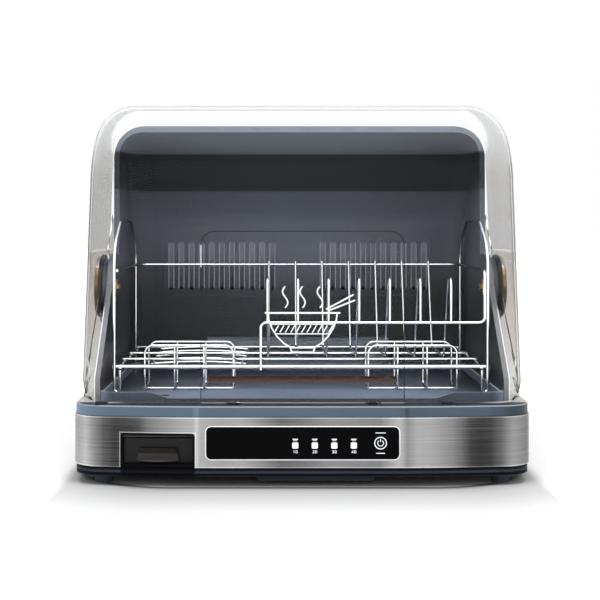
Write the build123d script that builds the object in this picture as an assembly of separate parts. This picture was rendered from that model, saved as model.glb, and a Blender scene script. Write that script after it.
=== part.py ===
"""Electric dish dryer with a clear visor lid, a wire dish rack and a steel-banded base.

Millimetres and degrees. +X is the machine's right as seen from the front, -Y its front, +Z up.
The origin is on the surface it stands on, under the middle of its box.
Depths named ..._back are measured from the foremost face, so back() turns them into Y.
"""
import math
import os

from build123d import *

# Machine as a whole
base_width = 455.0
base_depth = 335.0
face_proud = 0.6
fit_gap = 0.2
rest_gap = 0.3
slide_gap = 0.5
run_gap = 0.05
cut_over = 3.0

# Feet and bottom pan
foot_height = 10.0
foot_diameter = 20.0
foot_taper = 1.5
foot_side = 29.5
foot_edge_back = 33.0
screw_diameter = 4.0
screw_head_diameter = 8.0
screw_head_height = 2.0
pan_height = 9.0
pan_inset = 1.5
pan_wall = 2.4
sump_left = -45.0
sump_right = 71.0
sump_drop = 5.0
sump_front_back = 8.0
sump_clear = 78.0
sump_corner = 4.9
inlet_slot_width = 4.0
inlet_slot_pitch = 8.0
inlet_slot_count = 9

# Steel band, inner shell and rim
band_height = 49.0
band_thickness = 0.8
flange_width = 3.2
crease_margin = 6.5
front_bow = 12.0
bow_bulge = 2.0
front_corner = 32.0
rear_corner = 25.0
shell_wall = 2.2
rim_inset = 1.2
rim_height = 11.5
rim_wall = 3.0
rim_bevel = 1.5
pocket_depth = 2.5
pocket_floor = 2.7
bumper_shares = (-0.4363, -0.1484, 0.1517, 0.3132)
bumper_width = 9.5
bumper_depth = 7.0
bumper_height = 2.3
bumper_sink = 1.0

# Control window
window_width_share = 0.41758
window_height = 33.5
window_corner = 6.0
window_z = 43.3
bezel_width = 1.2
glass_thickness = 2.4
lens_side = 6.0
lens_corner = 1.3
lens_proud = 0.2
lens_key_gap = 26.0
lens_pitch = 19.0
lens_count = 4
lens_drop = 2.4
key_side = 19.2
key_diameter = 13.6
key_gap = 0.4
key_thickness = 4.0
key_travel = 0.8
board_inset = 7.0
board_height = 26.0
board_thickness = 1.6
board_back = 12.0
front_cut_depth = 26.0
post_diameter = 6.0
switch_side = 6.0

# Water drawer
sleeve_left_share = -0.39077
sleeve_width_share = 0.15956
sleeve_height = 32.4
sleeve_depth = 124.0
sleeve_wall = 2.0
sleeve_corner = 3.0
sleeve_bar_height = 2.6
sleeve_notch_width = 11.5
sleeve_notch_left = 28.0
drawer_front_back = 12.0
drawer_wall = 1.8
drawer_height = 24.0
drawer_tail = 4.0
pull_top_width = 36.0
pull_bottom_width = 43.0
pull_height = 12.0
pull_rise = 1.2
pull_reach = 5.5
pull_corner = 1.6
pull_belly = 1.8

# Blower, heater and boards inside the base
blower_side = 65.0
blower_past_middle = 0.5
blower_height = 40.0
scroll_start = 46.0
scroll_step = 4.0
scroll_wall = 2.0
scroll_mouth_length = 22.0
blower_eye = 56.0
wheel_diameter = 80.0
wheel_height = 26.0
wheel_plate = 2.0
wheel_ring = 8.0
blade_count = 16
blade_length = 12.0
blade_thickness = 1.2
blade_angle = 35.0
shaft_diameter = 5.0
hub_diameter = 14.0
motor_diameter = 36.0
motor_height = 9.0
wheel_rise = 3.0
heater_clear = 5.0
heater_past_duct = 14.5
heater_wall = 2.0
element_margin = 15.0
element_depth = 16.0
element_height = 26.0
element_core = 5.0
fin_count = 16
fin_thickness = 1.5
mains_board_width_share = 0.21978
mains_board_x_share = -0.28571
mains_board_front_clear = 56.0
mains_board_rear_clear = 35.0
mains_board_post = 8.0
mains_part_sizes = ((34.0, 30.0, 26.0), (20.0, 16.0, 16.0), (28.0, 12.0, 18.0), (14.0, 14.0, 24.0))
mains_part_shares = ((-0.22, 0.25), (0.24, 0.28), (0.18, -0.05), (-0.26, -0.23))
inlet_side = 77.5
inlet_z = 42.0
inlet_collar = 20.0
inlet_body = 14.0
inlet_bore = 8.0
inlet_length = 12.0

# Drip tray and air outlet
tray_front_back = 22.0
tray_wall = 2.2
tray_floor = 2.5
tray_rim = 88.0
tray_corner_rim = 90.0
tray_lip = 84.0
tray_corner = 14.0
lip_corner_width = 68.5
lip_rise_width = 17.0
lip_round = 22.0
drain_back = 74.0
drain_diameter = 12.0
outlet_half = 110.0
outlet_depth = 25.0
outlet_top = 118.0
outlet_wall = 2.5
outlet_round = 9.0
outlet_slot_count = 10
outlet_slot_width = 15.0
outlet_slot_height = 11.0
outlet_slot_pitch = 19.0
outlet_slot_z = 102.0
duct_margin = 9.0
duct_depth = 14.0
duct_setback = 12.5
lamp_diameter = 10.0
lamp_length = 176.0
lamp_setback = 15.0
lamp_z = 101.0
socket_side = 11.5
socket_length = 14.0

# Pivots
pivot_back_share = 0.47761
pivot_z = 188.0
pin_diameter = 12.0
pin_stub = 5.0
boss_radius = 30.0
washer_diameter = 16.0
washer_thickness = 0.8
nut_flats = 8.6
nut_thickness = 3.0
disc_radius = 35.0
disc_from_hood = 6.3
disc_thickness = 6.2
disc_chamfer = 1.0
cap_thickness = 4.7
cap_inner_radius = 23.0
cap_chamfer = 2.0

# Rear housing
hood_side = 19.5
hood_side_wall = 6.0
hood_crown = 15.0
hood_rim_past_pivot = 22.0
hood_rear_inset = 10.0
hood_knee_angle = 45.0
hood_edge_round = 35.0
hood_roof_wall = 6.5
hood_roof_angles = (60.0, 40.0)
hood_back_wall = 9.0
hood_facet_round = 30.0
hood_inner_edge_round = 26.0
cheek_front_back = 35.0
cheek_line_drop = 27.6
cheek_boss_radius = 36.0
cheek_round = 8.0
cheek_top_share = 0.3
vent_near_x = 22.0
vent_side = 44.0
vent_height = 72.0
vent_z = 205.5
vent_plate = 3.5
vent_ledge = 3.0
vent_slot_width = 6.0
vent_slot_length = 60.0
vent_slot_chamfer = 2.0
vent_slot_margin = 9.0
vent_slot_count = 11
filter_thickness = 2.5

# Lid
lid_crown = 11.5
lid_side = 5.7
lid_lean_angle = 2.2
lid_wall = 2.5
lid_front_back = 9.0
lid_past_rim = 8.0
lid_bend = 80.0
lid_edge_round = 40.0
lid_overlap = 4.0
lid_disc_ring = 6.0
raised_half = 100.0
raised_top = 250.0
raised_step = 1.8
raised_corner = 14.0
lid_pull_half = 92.0
lid_pull_z = 104.8
lid_pull_height = 5.6
lid_pull_reach = 5.4
lid_pull_round = 2.2
lid_pull_groove = 1.6

# Rack
wire_sides = 8
bar_diameter = 5.0
rail_diameter = 3.2
thin_diameter = 2.6
basket_wire = 2.4
arch_clear = 6.5
arch_front_back = 88.0
arch_rear_clear = 32.0
arch_top = 260.0
arch_shoulder = 232.0
arch_lean = 52.0
arch_bend = 35.0
foot_loop = 6.0
foot_loop_top = 104.2
top_rail_z = 208.0
top_rail_past_arch = 6.0
rail_bend = 12.0
mid_rail_z = 153.5
mid_rail_left = -42.0
rail_end_drop = 3.0
bar_z = 107.0
bar_overhang = 2.5
floor_bar_z = 109.0
floor_bar_shares = (0.30612, 0.62245, 0.9898)
divider_count = 7
divider_side = 34.8
divider_first_x = -35.0
divider_top = 200.0
divider_top_width = 20.0
divider_lean = 20.7
divider_bend = 8.0
divider_foot_bend = 6.0
divider_past_rail = 3.0
bowl_count = 5
bowl_front_clear = 12.0
bowl_rear_clear = 14.0
bowl_side = 31.8
bowl_right = -63.0
bowl_rise = 2.3
bowl_dip = 6.6
bowl_overhang = 3.0
bowl_bend = 5.0
basket_side = 74.4
basket_width = 93.0
basket_rear_clear = 11.0
basket_top = 129.0
basket_bottom = 84.0
basket_bend = 9.0
basket_foot_bend = 4.0
basket_inner_half = 15.5


def back(distance):
    """Y of a place that far behind the foremost face."""
    return distance - base_depth / 2


# Levels and places that follow from the sizes above
pan_z = foot_height
band_z = pan_z + pan_height
shell_z = band_z + band_thickness
rim_z = band_z + band_height
rim_top = rim_z + rim_height
pocket_z = rim_top - pocket_depth
plate_z = pocket_z - pocket_floor
pan_floor_top = pan_z + pan_wall
shell_outer = band_thickness + fit_gap
lid_bottom = rim_top + bumper_height + rest_gap
tray_bottom = pocket_z + rest_gap
tray_floor_top = tray_bottom + tray_floor

foot_x = base_width / 2 - foot_side
hood_half = base_width / 2 - hood_side
lid_half = base_width / 2 - lid_side
disc_start = hood_half + disc_from_hood
disc_end = disc_start + disc_thickness
pocket_half = hood_half - hood_side_wall
tray_half = pocket_half - slide_gap
lip_flat_half = tray_half - lip_corner_width
lip_rise_half = lip_flat_half + lip_rise_width
window_width = base_width * window_width_share
crease_half = window_width / 2 + crease_margin
board_width = window_width - 2 * board_inset
key_x = window_width / 2 - key_side
lens_first_x = key_x - lens_key_gap - (lens_count - 1) * lens_pitch
sleeve_left = base_width * sleeve_left_share
sleeve_width = base_width * sleeve_width_share
mid_x_of_sleeve = sleeve_left + sleeve_width / 2
drain_x = mid_x_of_sleeve
mains_board_x = base_width * mains_board_x_share
mains_board_width = base_width * mains_board_width_share
inlet_x = base_width / 2 - inlet_side
vent_width = (hood_half - vent_near_x) - vent_side
vent_slot_pitch = (vent_width - 2 * vent_slot_margin) / (vent_slot_count - 1)

pivot_back = base_depth * pivot_back_share
pivot_y = back(pivot_back)
hood_rear_back = base_depth - hood_rear_inset
hood_inner_rear_back = hood_rear_back - hood_back_wall
hood_radius = hood_rear_back - pivot_back + hood_crown
hood_inner_radius = hood_radius - hood_roof_wall
hood_rim_back = pivot_back + hood_rim_past_pivot
lid_rear_back = hood_rim_back + lid_past_rim
lid_top = pivot_z + hood_radius + lid_crown
outlet_front_back = hood_inner_rear_back - outlet_depth
duct_back = outlet_front_back + duct_setback
lamp_back = outlet_front_back + lamp_setback

blower_back = base_depth / 2 + blower_past_middle
sump_depth = blower_back - sump_clear
heater_front_back = blower_back + scroll_start + scroll_wall - scroll_step / 2 + scroll_mouth_length + fit_gap
heater_depth = duct_back + heater_past_duct - heater_front_back
heater_width = 2 * (-mains_board_x - mains_board_width / 2 - heater_clear)
element_width = heater_width - 2 * element_margin
duct_half = heater_width / 2 - duct_margin
blower_x = heater_width / 2 - blower_side
mains_board_front = sleeve_depth + mains_board_front_clear
mains_board_depth = base_depth - mains_board_rear_clear - mains_board_front
mains_board_back = mains_board_front + mains_board_depth / 2

arch_x = tray_half - arch_clear
arch_rear_back = hood_inner_rear_back - arch_rear_clear
top_rail_rear_back = arch_rear_back + top_rail_past_arch
rail_r = rail_diameter / 2
thin_r = thin_diameter / 2
bar_r = bar_diameter / 2
basket_r = basket_wire / 2
rail_x = arch_x - rail_diameter
bar_back = arch_front_back + rail_r + bar_r
rack_foot = tray_floor_top + rest_gap
side_rail_z = floor_bar_z - rail_diameter
divider_floor_z = floor_bar_z + rail_r + thin_r
floor_bar_backs = [arch_front_back + share * (arch_rear_back - arch_front_back) for share in floor_bar_shares]
divider_foot_back = floor_bar_backs[0]
divider_pitch = (rail_x - divider_side - divider_first_x) / (divider_count - 1)
bowl_left = -rail_x + bowl_side
bowl_first_back = floor_bar_backs[0] + bowl_front_clear
bowl_pitch = (floor_bar_backs[-1] - bowl_rear_clear - bowl_first_back) / (bowl_count - 1)
basket_x = rail_x - basket_side
basket_rear_back = floor_bar_backs[0] - basket_rear_clear


def block(x0, x1, y0, y1, z0, z1):
    """Box between two corners."""
    return Pos((x0 + x1) / 2, (y0 + y1) / 2, (z0 + z1) / 2) * Box(x1 - x0, y1 - y0, z1 - z0)


def rod_z(x, y, z0, z1, radius):
    """Upright round rod."""
    return Pos(x, y, (z0 + z1) / 2) * Cylinder(radius, z1 - z0)


def rod_y(x, z, y0, y1, radius):
    """Round rod that runs from front to back."""
    return Pos(x, (y0 + y1) / 2, z) * Rot(90, 0, 0) * Cylinder(radius, y1 - y0)


def rod_x(y, z, x0, x1, radius):
    """Round rod that runs from left to right."""
    return Pos((x0 + x1) / 2, y, z) * Rot(0, 90, 0) * Cylinder(radius, x1 - x0)


def upward(face, z0, z1):
    """Prism over a plan view."""
    return extrude(Pos(0, 0, z0) * face, z1 - z0, dir=(0, 0, 1))


def rearward(face, y0, y1):
    """Prism behind a front view, which is drawn in X and Z."""
    view = Plane(origin=(0, y0, 0), x_dir=(1, 0, 0), z_dir=(0, -1, 0))
    return extrude(view * face, y1 - y0, dir=(0, 1, 0))


def across(face, half):
    """Prism over a side view, which is drawn in Y and Z, to both sides of the middle."""
    return extrude(Plane.YZ * face, half, both=True)


def polygon(*points):
    """Flat face with straight sides."""
    return make_face(Polyline(*points, close=True))


def both_sides(solid):
    """A solid and its mirror image at the other side."""
    return [solid, mirror(solid, Plane.YZ)]


def wire(points, radius, bends):
    """Wire bent along straight runs, faceted round its section."""
    path = FilletPolyline(*points, radius=bends) if len(points) > 2 else Line(*points)
    section = Plane(origin=path @ 0, z_dir=path % 0) * RegularPolygon(radius, wire_sides)
    return sweep(section, path)


def about(centre, radius, angle):
    """Point at an angle on a circle in a side view."""
    turn = math.radians(angle)
    return (centre[0] + radius * math.cos(turn), centre[1] + radius * math.sin(turn))


def plan(inset):
    """Outline of the base from above, set in all round: flat middle, bowed wings, round corners."""
    half = base_width / 2 - inset
    front = back(face_proud + inset)
    rear = back(base_depth - face_proud - inset)
    shoulder = front + front_bow
    sides = [
        Line((-crease_half, front), (crease_half, front)),
        SagittaArc((crease_half, front), (half, shoulder), -bow_bulge),
        Line((half, shoulder), (half, rear)),
        Line((half, rear), (-half, rear)),
        Line((-half, rear), (-half, shoulder)),
        SagittaArc((-half, shoulder), (-crease_half, front), -bow_bulge),
    ]
    outline = make_face(sides)
    for radius, level in ((front_corner, shoulder), (rear_corner, rear)):
        corners = [outline.vertices().sort_by_distance((x, level))[0] for x in (-half, half)]
        outline = fillet(corners, radius - inset)
    return outline


def round_uprights(solid, front_radius, rear_radius):
    """Round the four upright edges of a block, at the front and at the rear."""
    solid = fillet(solid.edges().filter_by(Axis.Z).group_by(Axis.Y)[0], front_radius)
    return fillet(solid.edges().filter_by(Axis.Z).group_by(Axis.Y)[-1], rear_radius)


def ring(outer, inner, z0, z1):
    """Wall between two insets of the base outline."""
    return upward(plan(outer), z0, z1) - upward(plan(inner), z0 - cut_over, z1 + cut_over)


def foot_places():
    """Centres of the four feet."""
    near = back(foot_edge_back)
    return [(x, y) for x in (-foot_x, foot_x) for y in (near, -near)]


def make_feet():
    """Tapered rubber feet with a screw recess."""
    feet = []
    for x, y in foot_places():
        foot = Pos(x, y, foot_height / 2) * Cone(
            foot_diameter / 2 - foot_taper, foot_diameter / 2, foot_height)
        recess = rod_z(x, y, -cut_over, foot_height / 2, screw_head_diameter / 2 + fit_gap)
        bore = rod_z(x, y, 0, foot_height + cut_over, screw_diameter / 2 + fit_gap)
        feet.append(foot - recess - bore)
    return feet


def make_foot_screws():
    """Screws that hold the feet and the pan."""
    screws = []
    seat = foot_height / 2
    for x, y in foot_places():
        head = rod_z(x, y, seat - screw_head_height, seat, screw_head_diameter / 2)
        screws.append(head + rod_z(x, y, seat, pan_floor_top + pan_wall, screw_diameter / 2))
    return screws


def make_pan():
    """Shallow bottom pan with its sump, inlet slots and screw holes."""
    pan = upward(plan(pan_inset), pan_z, band_z)
    pan -= upward(plan(pan_inset + pan_wall), pan_floor_top, band_z + cut_over)
    width = sump_right - sump_left
    middle = (sump_left + sump_right) / 2
    front_view = Pos(middle, pan_z) * Rectangle(width, 2 * sump_drop)
    low_corners = front_view.vertices().group_by(Axis.Y)[0]
    front_view = fillet(low_corners, sump_corner)
    pan += rearward(front_view, back(sump_front_back), back(sump_front_back + sump_depth))
    hollow = block(sump_left + sump_corner, sump_right - sump_corner,
                   back(sump_front_back + pan_wall), back(sump_front_back + sump_depth - pan_wall),
                   pan_z - sump_drop + pan_wall, pan_floor_top + sump_drop)
    pan -= hollow
    span = (inlet_slot_count - 1) * inlet_slot_pitch
    for index in range(inlet_slot_count):
        x = blower_x - span / 2 + index * inlet_slot_pitch
        reach = math.sqrt((blower_eye / 2 + inlet_slot_pitch) ** 2 - (x - blower_x) ** 2)
        slot = Pos(x, back(blower_back), pan_z) * Box(inlet_slot_width, 2 * reach, 2 * pan_wall + cut_over)
        pan -= slot
    for x, y in foot_places():
        pan -= rod_z(x, y, pan_z - cut_over, pan_floor_top + cut_over, screw_diameter / 2 + fit_gap)
    return pan


def window_face(grow):
    """Front view of the control window, grown all round."""
    return Pos(0, window_z) * RectangleRounded(
        window_width + 2 * grow, window_height + 2 * grow, window_corner + grow)


def sleeve_face(grow):
    """Front view of the drawer recess, open at the band's lower edge."""
    height = sleeve_height + grow
    face = Pos(mid_x_of_sleeve, shell_z + height / 2) * Rectangle(sleeve_width + 2 * grow, height)
    return fillet(face.vertices().group_by(Axis.Y)[-1], sleeve_corner + grow)


def front_cut(face):
    """Cutter through the front walls only."""
    return rearward(face, back(0) - cut_over, back(front_cut_depth))


def make_band():
    """Thin steel band with its edges turned in, and its two openings at the front."""
    band = ring(0, band_thickness, band_z, rim_z)
    band += ring(band_thickness / 2, flange_width, band_z, shell_z)
    band += ring(band_thickness / 2, flange_width, rim_z - band_thickness, rim_z)
    band -= front_cut(window_face(fit_gap))
    band -= front_cut(sleeve_face(fit_gap))
    low = block(sleeve_left - fit_gap, sleeve_left + sleeve_width + fit_gap, back(0) - cut_over,
                back(front_cut_depth), band_z - cut_over, shell_z + fit_gap)
    gland = rod_y(inlet_x, inlet_z, back(base_depth - inlet_length), back(base_depth) + cut_over,
                  inlet_body / 2 + fit_gap)
    return band - low - gland


def make_shell():
    """Moulded inner wall behind the steel band, with posts for the control board."""
    shell = ring(shell_outer, shell_outer + shell_wall, shell_z, rim_z - band_thickness)
    shell -= front_cut(window_face(fit_gap))
    shell -= front_cut(sleeve_face(fit_gap))
    gland = rod_y(inlet_x, inlet_z, back(base_depth - inlet_length), back(base_depth) + cut_over,
                  inlet_body / 2 + fit_gap)
    return shell - gland


def make_window_glass():
    """Black window plate with pockets for the lenses and a hole for the key."""
    front = back(face_proud)
    glass = rearward(window_face(-bezel_width), front, front + glass_thickness)
    shelf = rearward(window_face(-fit_gap), front + glass_thickness / 2, front + glass_thickness)
    glass += shelf
    for x in lens_places():
        hole = Pos(x, window_z - lens_drop) * RectangleRounded(
            lens_side + fit_gap, lens_side + fit_gap, lens_corner)
        glass -= rearward(hole, front - cut_over, front + glass_thickness + cut_over)
    glass -= rod_y(key_x, window_z, front - cut_over, front + glass_thickness + cut_over,
                   key_diameter / 2 + key_gap)
    for x in (post_diameter - board_width / 2, board_width / 2 - post_diameter):
        for z in (post_diameter - board_height, board_height - post_diameter):
            glass += rod_y(x, window_z + z / 2, front + glass_thickness, back(board_back),
                           post_diameter / 2)
    return glass


def lens_places():
    """X of each touch-key lens."""
    return [lens_first_x + index * lens_pitch for index in range(lens_count)]


def make_lenses():
    """Small rounded touch-key lenses."""
    front = back(face_proud) - lens_proud
    lenses = []
    for x in lens_places():
        face = Pos(x, window_z - lens_drop) * RectangleRounded(lens_side, lens_side, lens_corner)
        lenses.append(rearward(face, front, back(face_proud) + glass_thickness))
    return lenses


def make_bezel():
    """Thin bright frame round the window."""
    outer = rearward(window_face(0), back(0), back(face_proud) + glass_thickness / 2 - fit_gap)
    return outer - rearward(window_face(fit_gap - bezel_width), back(0) - cut_over, back(board_back))


def make_key():
    """Round power key with a shallow dish and a flange that keeps it in."""
    front = back(face_proud) - lens_proud
    key = rod_y(key_x, window_z, front, front + key_thickness, key_diameter / 2)
    flange_start = back(face_proud) + glass_thickness + rest_gap
    flange = rod_y(key_x, window_z, flange_start, flange_start + lens_corner,
                   key_diameter / 2 + bezel_width)
    dish = Pos(key_x, front - key_diameter, window_z) * Sphere(key_diameter + lens_proud)
    return key + flange - dish


def make_control_board():
    """Board behind the window."""
    y = back(board_back)
    return block(-board_width / 2, board_width / 2, y, y + board_thickness,
                 window_z - board_height / 2, window_z + board_height / 2)


def make_tact_switch():
    """Switch on the board that the key presses."""
    key_end = back(face_proud) - lens_proud + key_thickness
    body = block(key_x - switch_side / 2, key_x + switch_side / 2,
                 back(board_back) - switch_side / 2, back(board_back),
                 window_z - switch_side / 2, window_z + switch_side / 2)
    return body + rod_y(key_x, window_z, key_end + key_travel + rest_gap, back(board_back), switch_side / 3)


def make_sleeve():
    """Drawer recess with its guide bar; its front edge follows the bowed front."""
    left = sleeve_left
    right = sleeve_left + sleeve_width
    rear = back(sleeve_depth)
    sleeve = rearward(sleeve_face(0), back(0), rear)
    hollow = Pos(mid_x_of_sleeve, shell_z + sleeve_height / 2) * Rectangle(
        sleeve_width - 2 * sleeve_wall, sleeve_height - 2 * sleeve_wall)
    sleeve -= rearward(hollow, back(0) - cut_over, rear - sleeve_wall)
    bar_top = shell_z + sleeve_height - sleeve_wall
    bar = block(left + sleeve_wall, right - sleeve_wall, back(drawer_front_back) - drawer_wall,
                back(drawer_front_back), bar_top - sleeve_bar_height, bar_top)
    notch = block(left + sleeve_notch_left, left + sleeve_notch_left + sleeve_notch_width,
                  back(0), back(drawer_front_back), bar_top - sleeve_bar_height / 2, bar_top)
    drain = rod_z(drain_x, back(drain_back), bar_top - cut_over, rim_z, drain_diameter / 2)
    sleeve = sleeve + (bar - notch) - drain
    return sleeve & upward(plan(0), pan_z, rim_z)


def make_drawer():
    """Open-topped water drawer."""
    left = sleeve_left + sleeve_wall + slide_gap
    right = sleeve_left + sleeve_width - sleeve_wall - slide_gap
    low = shell_z + sleeve_wall + rest_gap
    front = back(drawer_front_back)
    rear = back(sleeve_depth) - sleeve_wall - drawer_tail
    drawer = block(left, right, front, rear, low, low + drawer_height)
    edges = drawer.edges().filter_by(Axis.Z).group_by(Axis.Y)[-1]
    drawer = fillet(edges, sleeve_corner)
    hollow = block(left + drawer_wall, right - drawer_wall, front + drawer_wall, rear - drawer_wall,
                   low + drawer_wall, low + drawer_height + cut_over)
    return drawer - fillet(hollow.edges().filter_by(Axis.Z), sleeve_corner - drawer_wall / 2)


def make_pull():
    """Tapered pull on the drawer's front, with a curved lower edge."""
    low = shell_z + sleeve_wall + rest_gap + pull_rise + pull_belly
    high = low + pull_height
    middle = mid_x_of_sleeve
    sides = [
        Line((middle - pull_bottom_width / 2, low), (middle - pull_top_width / 2, high)),
        Line((middle - pull_top_width / 2, high), (middle + pull_top_width / 2, high)),
        Line((middle + pull_top_width / 2, high), (middle + pull_bottom_width / 2, low)),
        ThreePointArc((middle + pull_bottom_width / 2, low), (middle, low - pull_belly),
                      (middle - pull_bottom_width / 2, low)),
    ]
    face = fillet(make_face(sides).vertices(), pull_corner)
    pull = rearward(face, back(drawer_front_back) - pull_reach, back(drawer_front_back))
    front_edges = pull.faces().sort_by(Axis.Y)[0].edges()
    return chamfer(front_edges, pull_corner / 2)


def make_rim():
    """Plastic rim and chamber floor plate with the tray's pocket, the drain and the air duct hole."""
    rim = upward(plan(rim_inset), rim_z, rim_top)
    rim = chamfer(rim.faces().sort_by(Axis.Z)[-1].edges(), rim_bevel)
    rim -= upward(plan(rim_inset + rim_wall), rim_z - cut_over, plate_z)
    front = back(tray_front_back - slide_gap)
    rear = back(hood_inner_rear_back)
    pocket = block(-pocket_half, pocket_half, front, rear, pocket_z, rim_top + cut_over)
    rim -= round_uprights(pocket, tray_corner, hood_inner_edge_round)
    rim -= rod_z(drain_x, back(drain_back), plate_z - cut_over, rim_top, drain_diameter / 2)
    rim -= block(-duct_half, duct_half, back(duct_back - duct_depth / 2), back(duct_back + duct_depth / 2),
                 plate_z - cut_over, rim_top)
    for stop in make_bumpers(0):
        rim -= stop
    return rim


def make_bumpers(shrink):
    """Rubber stops that the closed lid's lower edge comes down on."""
    stops = []
    for share in bumper_shares:
        x = base_width * share
        past_bend = max(abs(x) - (lid_half - lid_edge_round), 0)
        reach = lid_edge_round - lid_wall / 2
        middle = back(lid_front_back + lid_edge_round) - math.sqrt(reach ** 2 - past_bend ** 2)
        half = bumper_width / 2 - shrink
        stops.append(block(x - half, x + half, middle - bumper_depth / 2 + shrink,
                           middle + bumper_depth / 2 - shrink, rim_top - bumper_sink,
                           rim_top + bumper_height))
    return stops


def scroll_face(grow):
    """Volute outline of three growing quarter arcs and a straight mouth that opens to the back."""
    corner = scroll_step / 2
    radius = scroll_start + grow
    angle = 90.0
    point = about((-corner, -corner), radius, angle)
    first = point
    sides = []
    for centre in ((-corner, -corner), (corner, -corner), (corner, corner)):
        end = about(centre, radius, angle + 90)
        sides.append(ThreePointArc(point, about(centre, radius, angle + 45), end))
        angle += 90
        radius += scroll_step
        point = end
    mouth = first[1] + scroll_mouth_length
    sides += [Line(point, (point[0], mouth)), Line((point[0], mouth), (first[0], mouth)),
              Line((first[0], mouth), first)]
    return make_face(sides)


def make_blower_housing():
    """Scroll casing that draws in through its floor and blows to the back."""
    low = pan_floor_top + rest_gap
    place = Pos(blower_x, back(blower_back), 0)
    casing = upward(scroll_face(scroll_wall), low, low + blower_height)
    hollow = upward(scroll_face(0), low + scroll_wall, low + blower_height - scroll_wall)
    mouth = scroll_face(0).bounding_box()
    throat = block(mouth.min.X + scroll_start + scroll_wall, mouth.max.X, mouth.max.Y - scroll_wall,
                   mouth.max.Y + cut_over, low + scroll_wall, low + blower_height - scroll_wall)
    eye = rod_z(0, 0, low - cut_over, low + scroll_wall + cut_over / 3, blower_eye / 2)
    top = low + blower_height
    seat = rod_z(0, 0, top - cut_over, top + cut_over, motor_diameter / 2 + fit_gap)
    return place * (casing - hollow - throat - eye - seat)


def wheel_z():
    """Level of the blower wheel's lower ring."""
    return pan_floor_top + rest_gap + scroll_wall + wheel_rise


def make_blower_wheel():
    """Forward-curved wheel: a back plate on top, slanted blades and a lower ring."""
    low = wheel_z()
    top = low + wheel_height
    plate = rod_z(0, 0, top - wheel_plate, top, wheel_diameter / 2)
    hub = rod_z(0, 0, top - hub_diameter, top, hub_diameter / 2)
    ring_part = rod_z(0, 0, low, low + wheel_plate, wheel_diameter / 2)
    ring_part -= rod_z(0, 0, low - cut_over, low + cut_over, wheel_diameter / 2 - wheel_ring)
    wheel = plate + hub + ring_part
    middle = wheel_diameter / 2 - blade_length / 2
    for index in range(blade_count):
        turn = Rot(0, 0, index * 360 / blade_count)
        blade = Pos(middle, 0, low + wheel_height / 2) * Rot(0, 0, blade_angle) * Box(
            blade_length, blade_thickness, wheel_height - wheel_plate)
        wheel += turn * blade
    wheel -= rod_z(0, 0, low, top + cut_over, shaft_diameter / 2)
    return Pos(blower_x, back(blower_back), 0) * wheel


def make_blower_shaft():
    """Motor shaft that carries the wheel."""
    top = wheel_z() + wheel_height
    return rod_z(blower_x, back(blower_back), top - hub_diameter, top + wheel_rise + motor_height / 2,
                 shaft_diameter / 2)


def make_blower_motor():
    """Flat motor that hangs through the casing's top."""
    top = wheel_z() + wheel_height + wheel_rise
    motor = rod_z(blower_x, back(blower_back), top, top + motor_height, motor_diameter / 2)
    casing_top = pan_floor_top + rest_gap + blower_height
    flange = rod_z(blower_x, back(blower_back), casing_top, casing_top + scroll_wall,
                   motor_diameter / 2 + scroll_wall)
    bore = rod_z(blower_x, back(blower_back), 0, top + motor_height / 2 + rest_gap,
                 shaft_diameter / 2 + run_gap)
    return motor + flange - bore


def make_heater_housing():
    """Duct that turns the blown air up through the heater into the chamber."""
    low = pan_floor_top + rest_gap
    front = back(heater_front_back)
    rear = front + heater_depth
    half = heater_width / 2
    duct = block(-half, half, front, rear, low, plate_z)
    duct -= block(-half + heater_wall, half - heater_wall, front + heater_wall, rear - heater_wall,
                  low + heater_wall, plate_z + cut_over)
    mouth = scroll_face(0).bounding_box()
    throat = block(blower_x + mouth.min.X + scroll_start + scroll_wall, blower_x + mouth.max.X,
                   front - cut_over, front + heater_wall + cut_over, low + scroll_wall,
                   low + blower_height - scroll_wall)
    return duct - throat


def make_heater_element():
    """Heating block: a core bar with fins, held by its ends."""
    middle = back(heater_front_back + heater_depth / 2)
    z = pan_floor_top + element_height
    half = heater_width / 2 - heater_wall
    element = block(-half, half, middle - element_core / 2, middle + element_core / 2,
                    z - element_core / 2, z + element_core / 2)
    pitch = element_width / (fin_count - 1)
    for index in range(fin_count):
        x = -element_width / 2 + index * pitch
        element += Pos(x, middle, z) * Box(fin_thickness, element_depth, element_height)
    return element


def make_power_board():
    """Mains board on its posts, with a transformer, relays and capacitors."""
    middle = back(mains_board_back)
    low = pan_floor_top + mains_board_post
    board = Pos(mains_board_x, middle, low + board_thickness / 2) * Box(
        mains_board_width, mains_board_depth, board_thickness)
    for (x_share, y_share), (width, depth, height) in zip(mains_part_shares, mains_part_sizes):
        board += Pos(mains_board_x + x_share * mains_board_width, middle + y_share * mains_board_depth,
                     low + board_thickness + height / 2) * Box(width, depth, height)
    for x in (-1, 1):
        for y in (-1, 1):
            board += rod_z(mains_board_x + x * (mains_board_width / 2 - post_diameter),
                           middle + y * (mains_board_depth / 2 - post_diameter),
                           pan_floor_top, low, post_diameter / 2)
    return board


def make_cord_inlet():
    """Bushed hole in the back for the mains lead."""
    rear = back(base_depth)
    inlet = rod_y(inlet_x, inlet_z, rear - inlet_length, rear - face_proud, inlet_body / 2)
    inlet += rod_y(inlet_x, inlet_z, rear - face_proud, rear, inlet_collar / 2)
    return inlet - rod_y(inlet_x, inlet_z, rear - inlet_length + inlet_bore / 2, rear + cut_over,
                         inlet_bore / 2)


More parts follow.
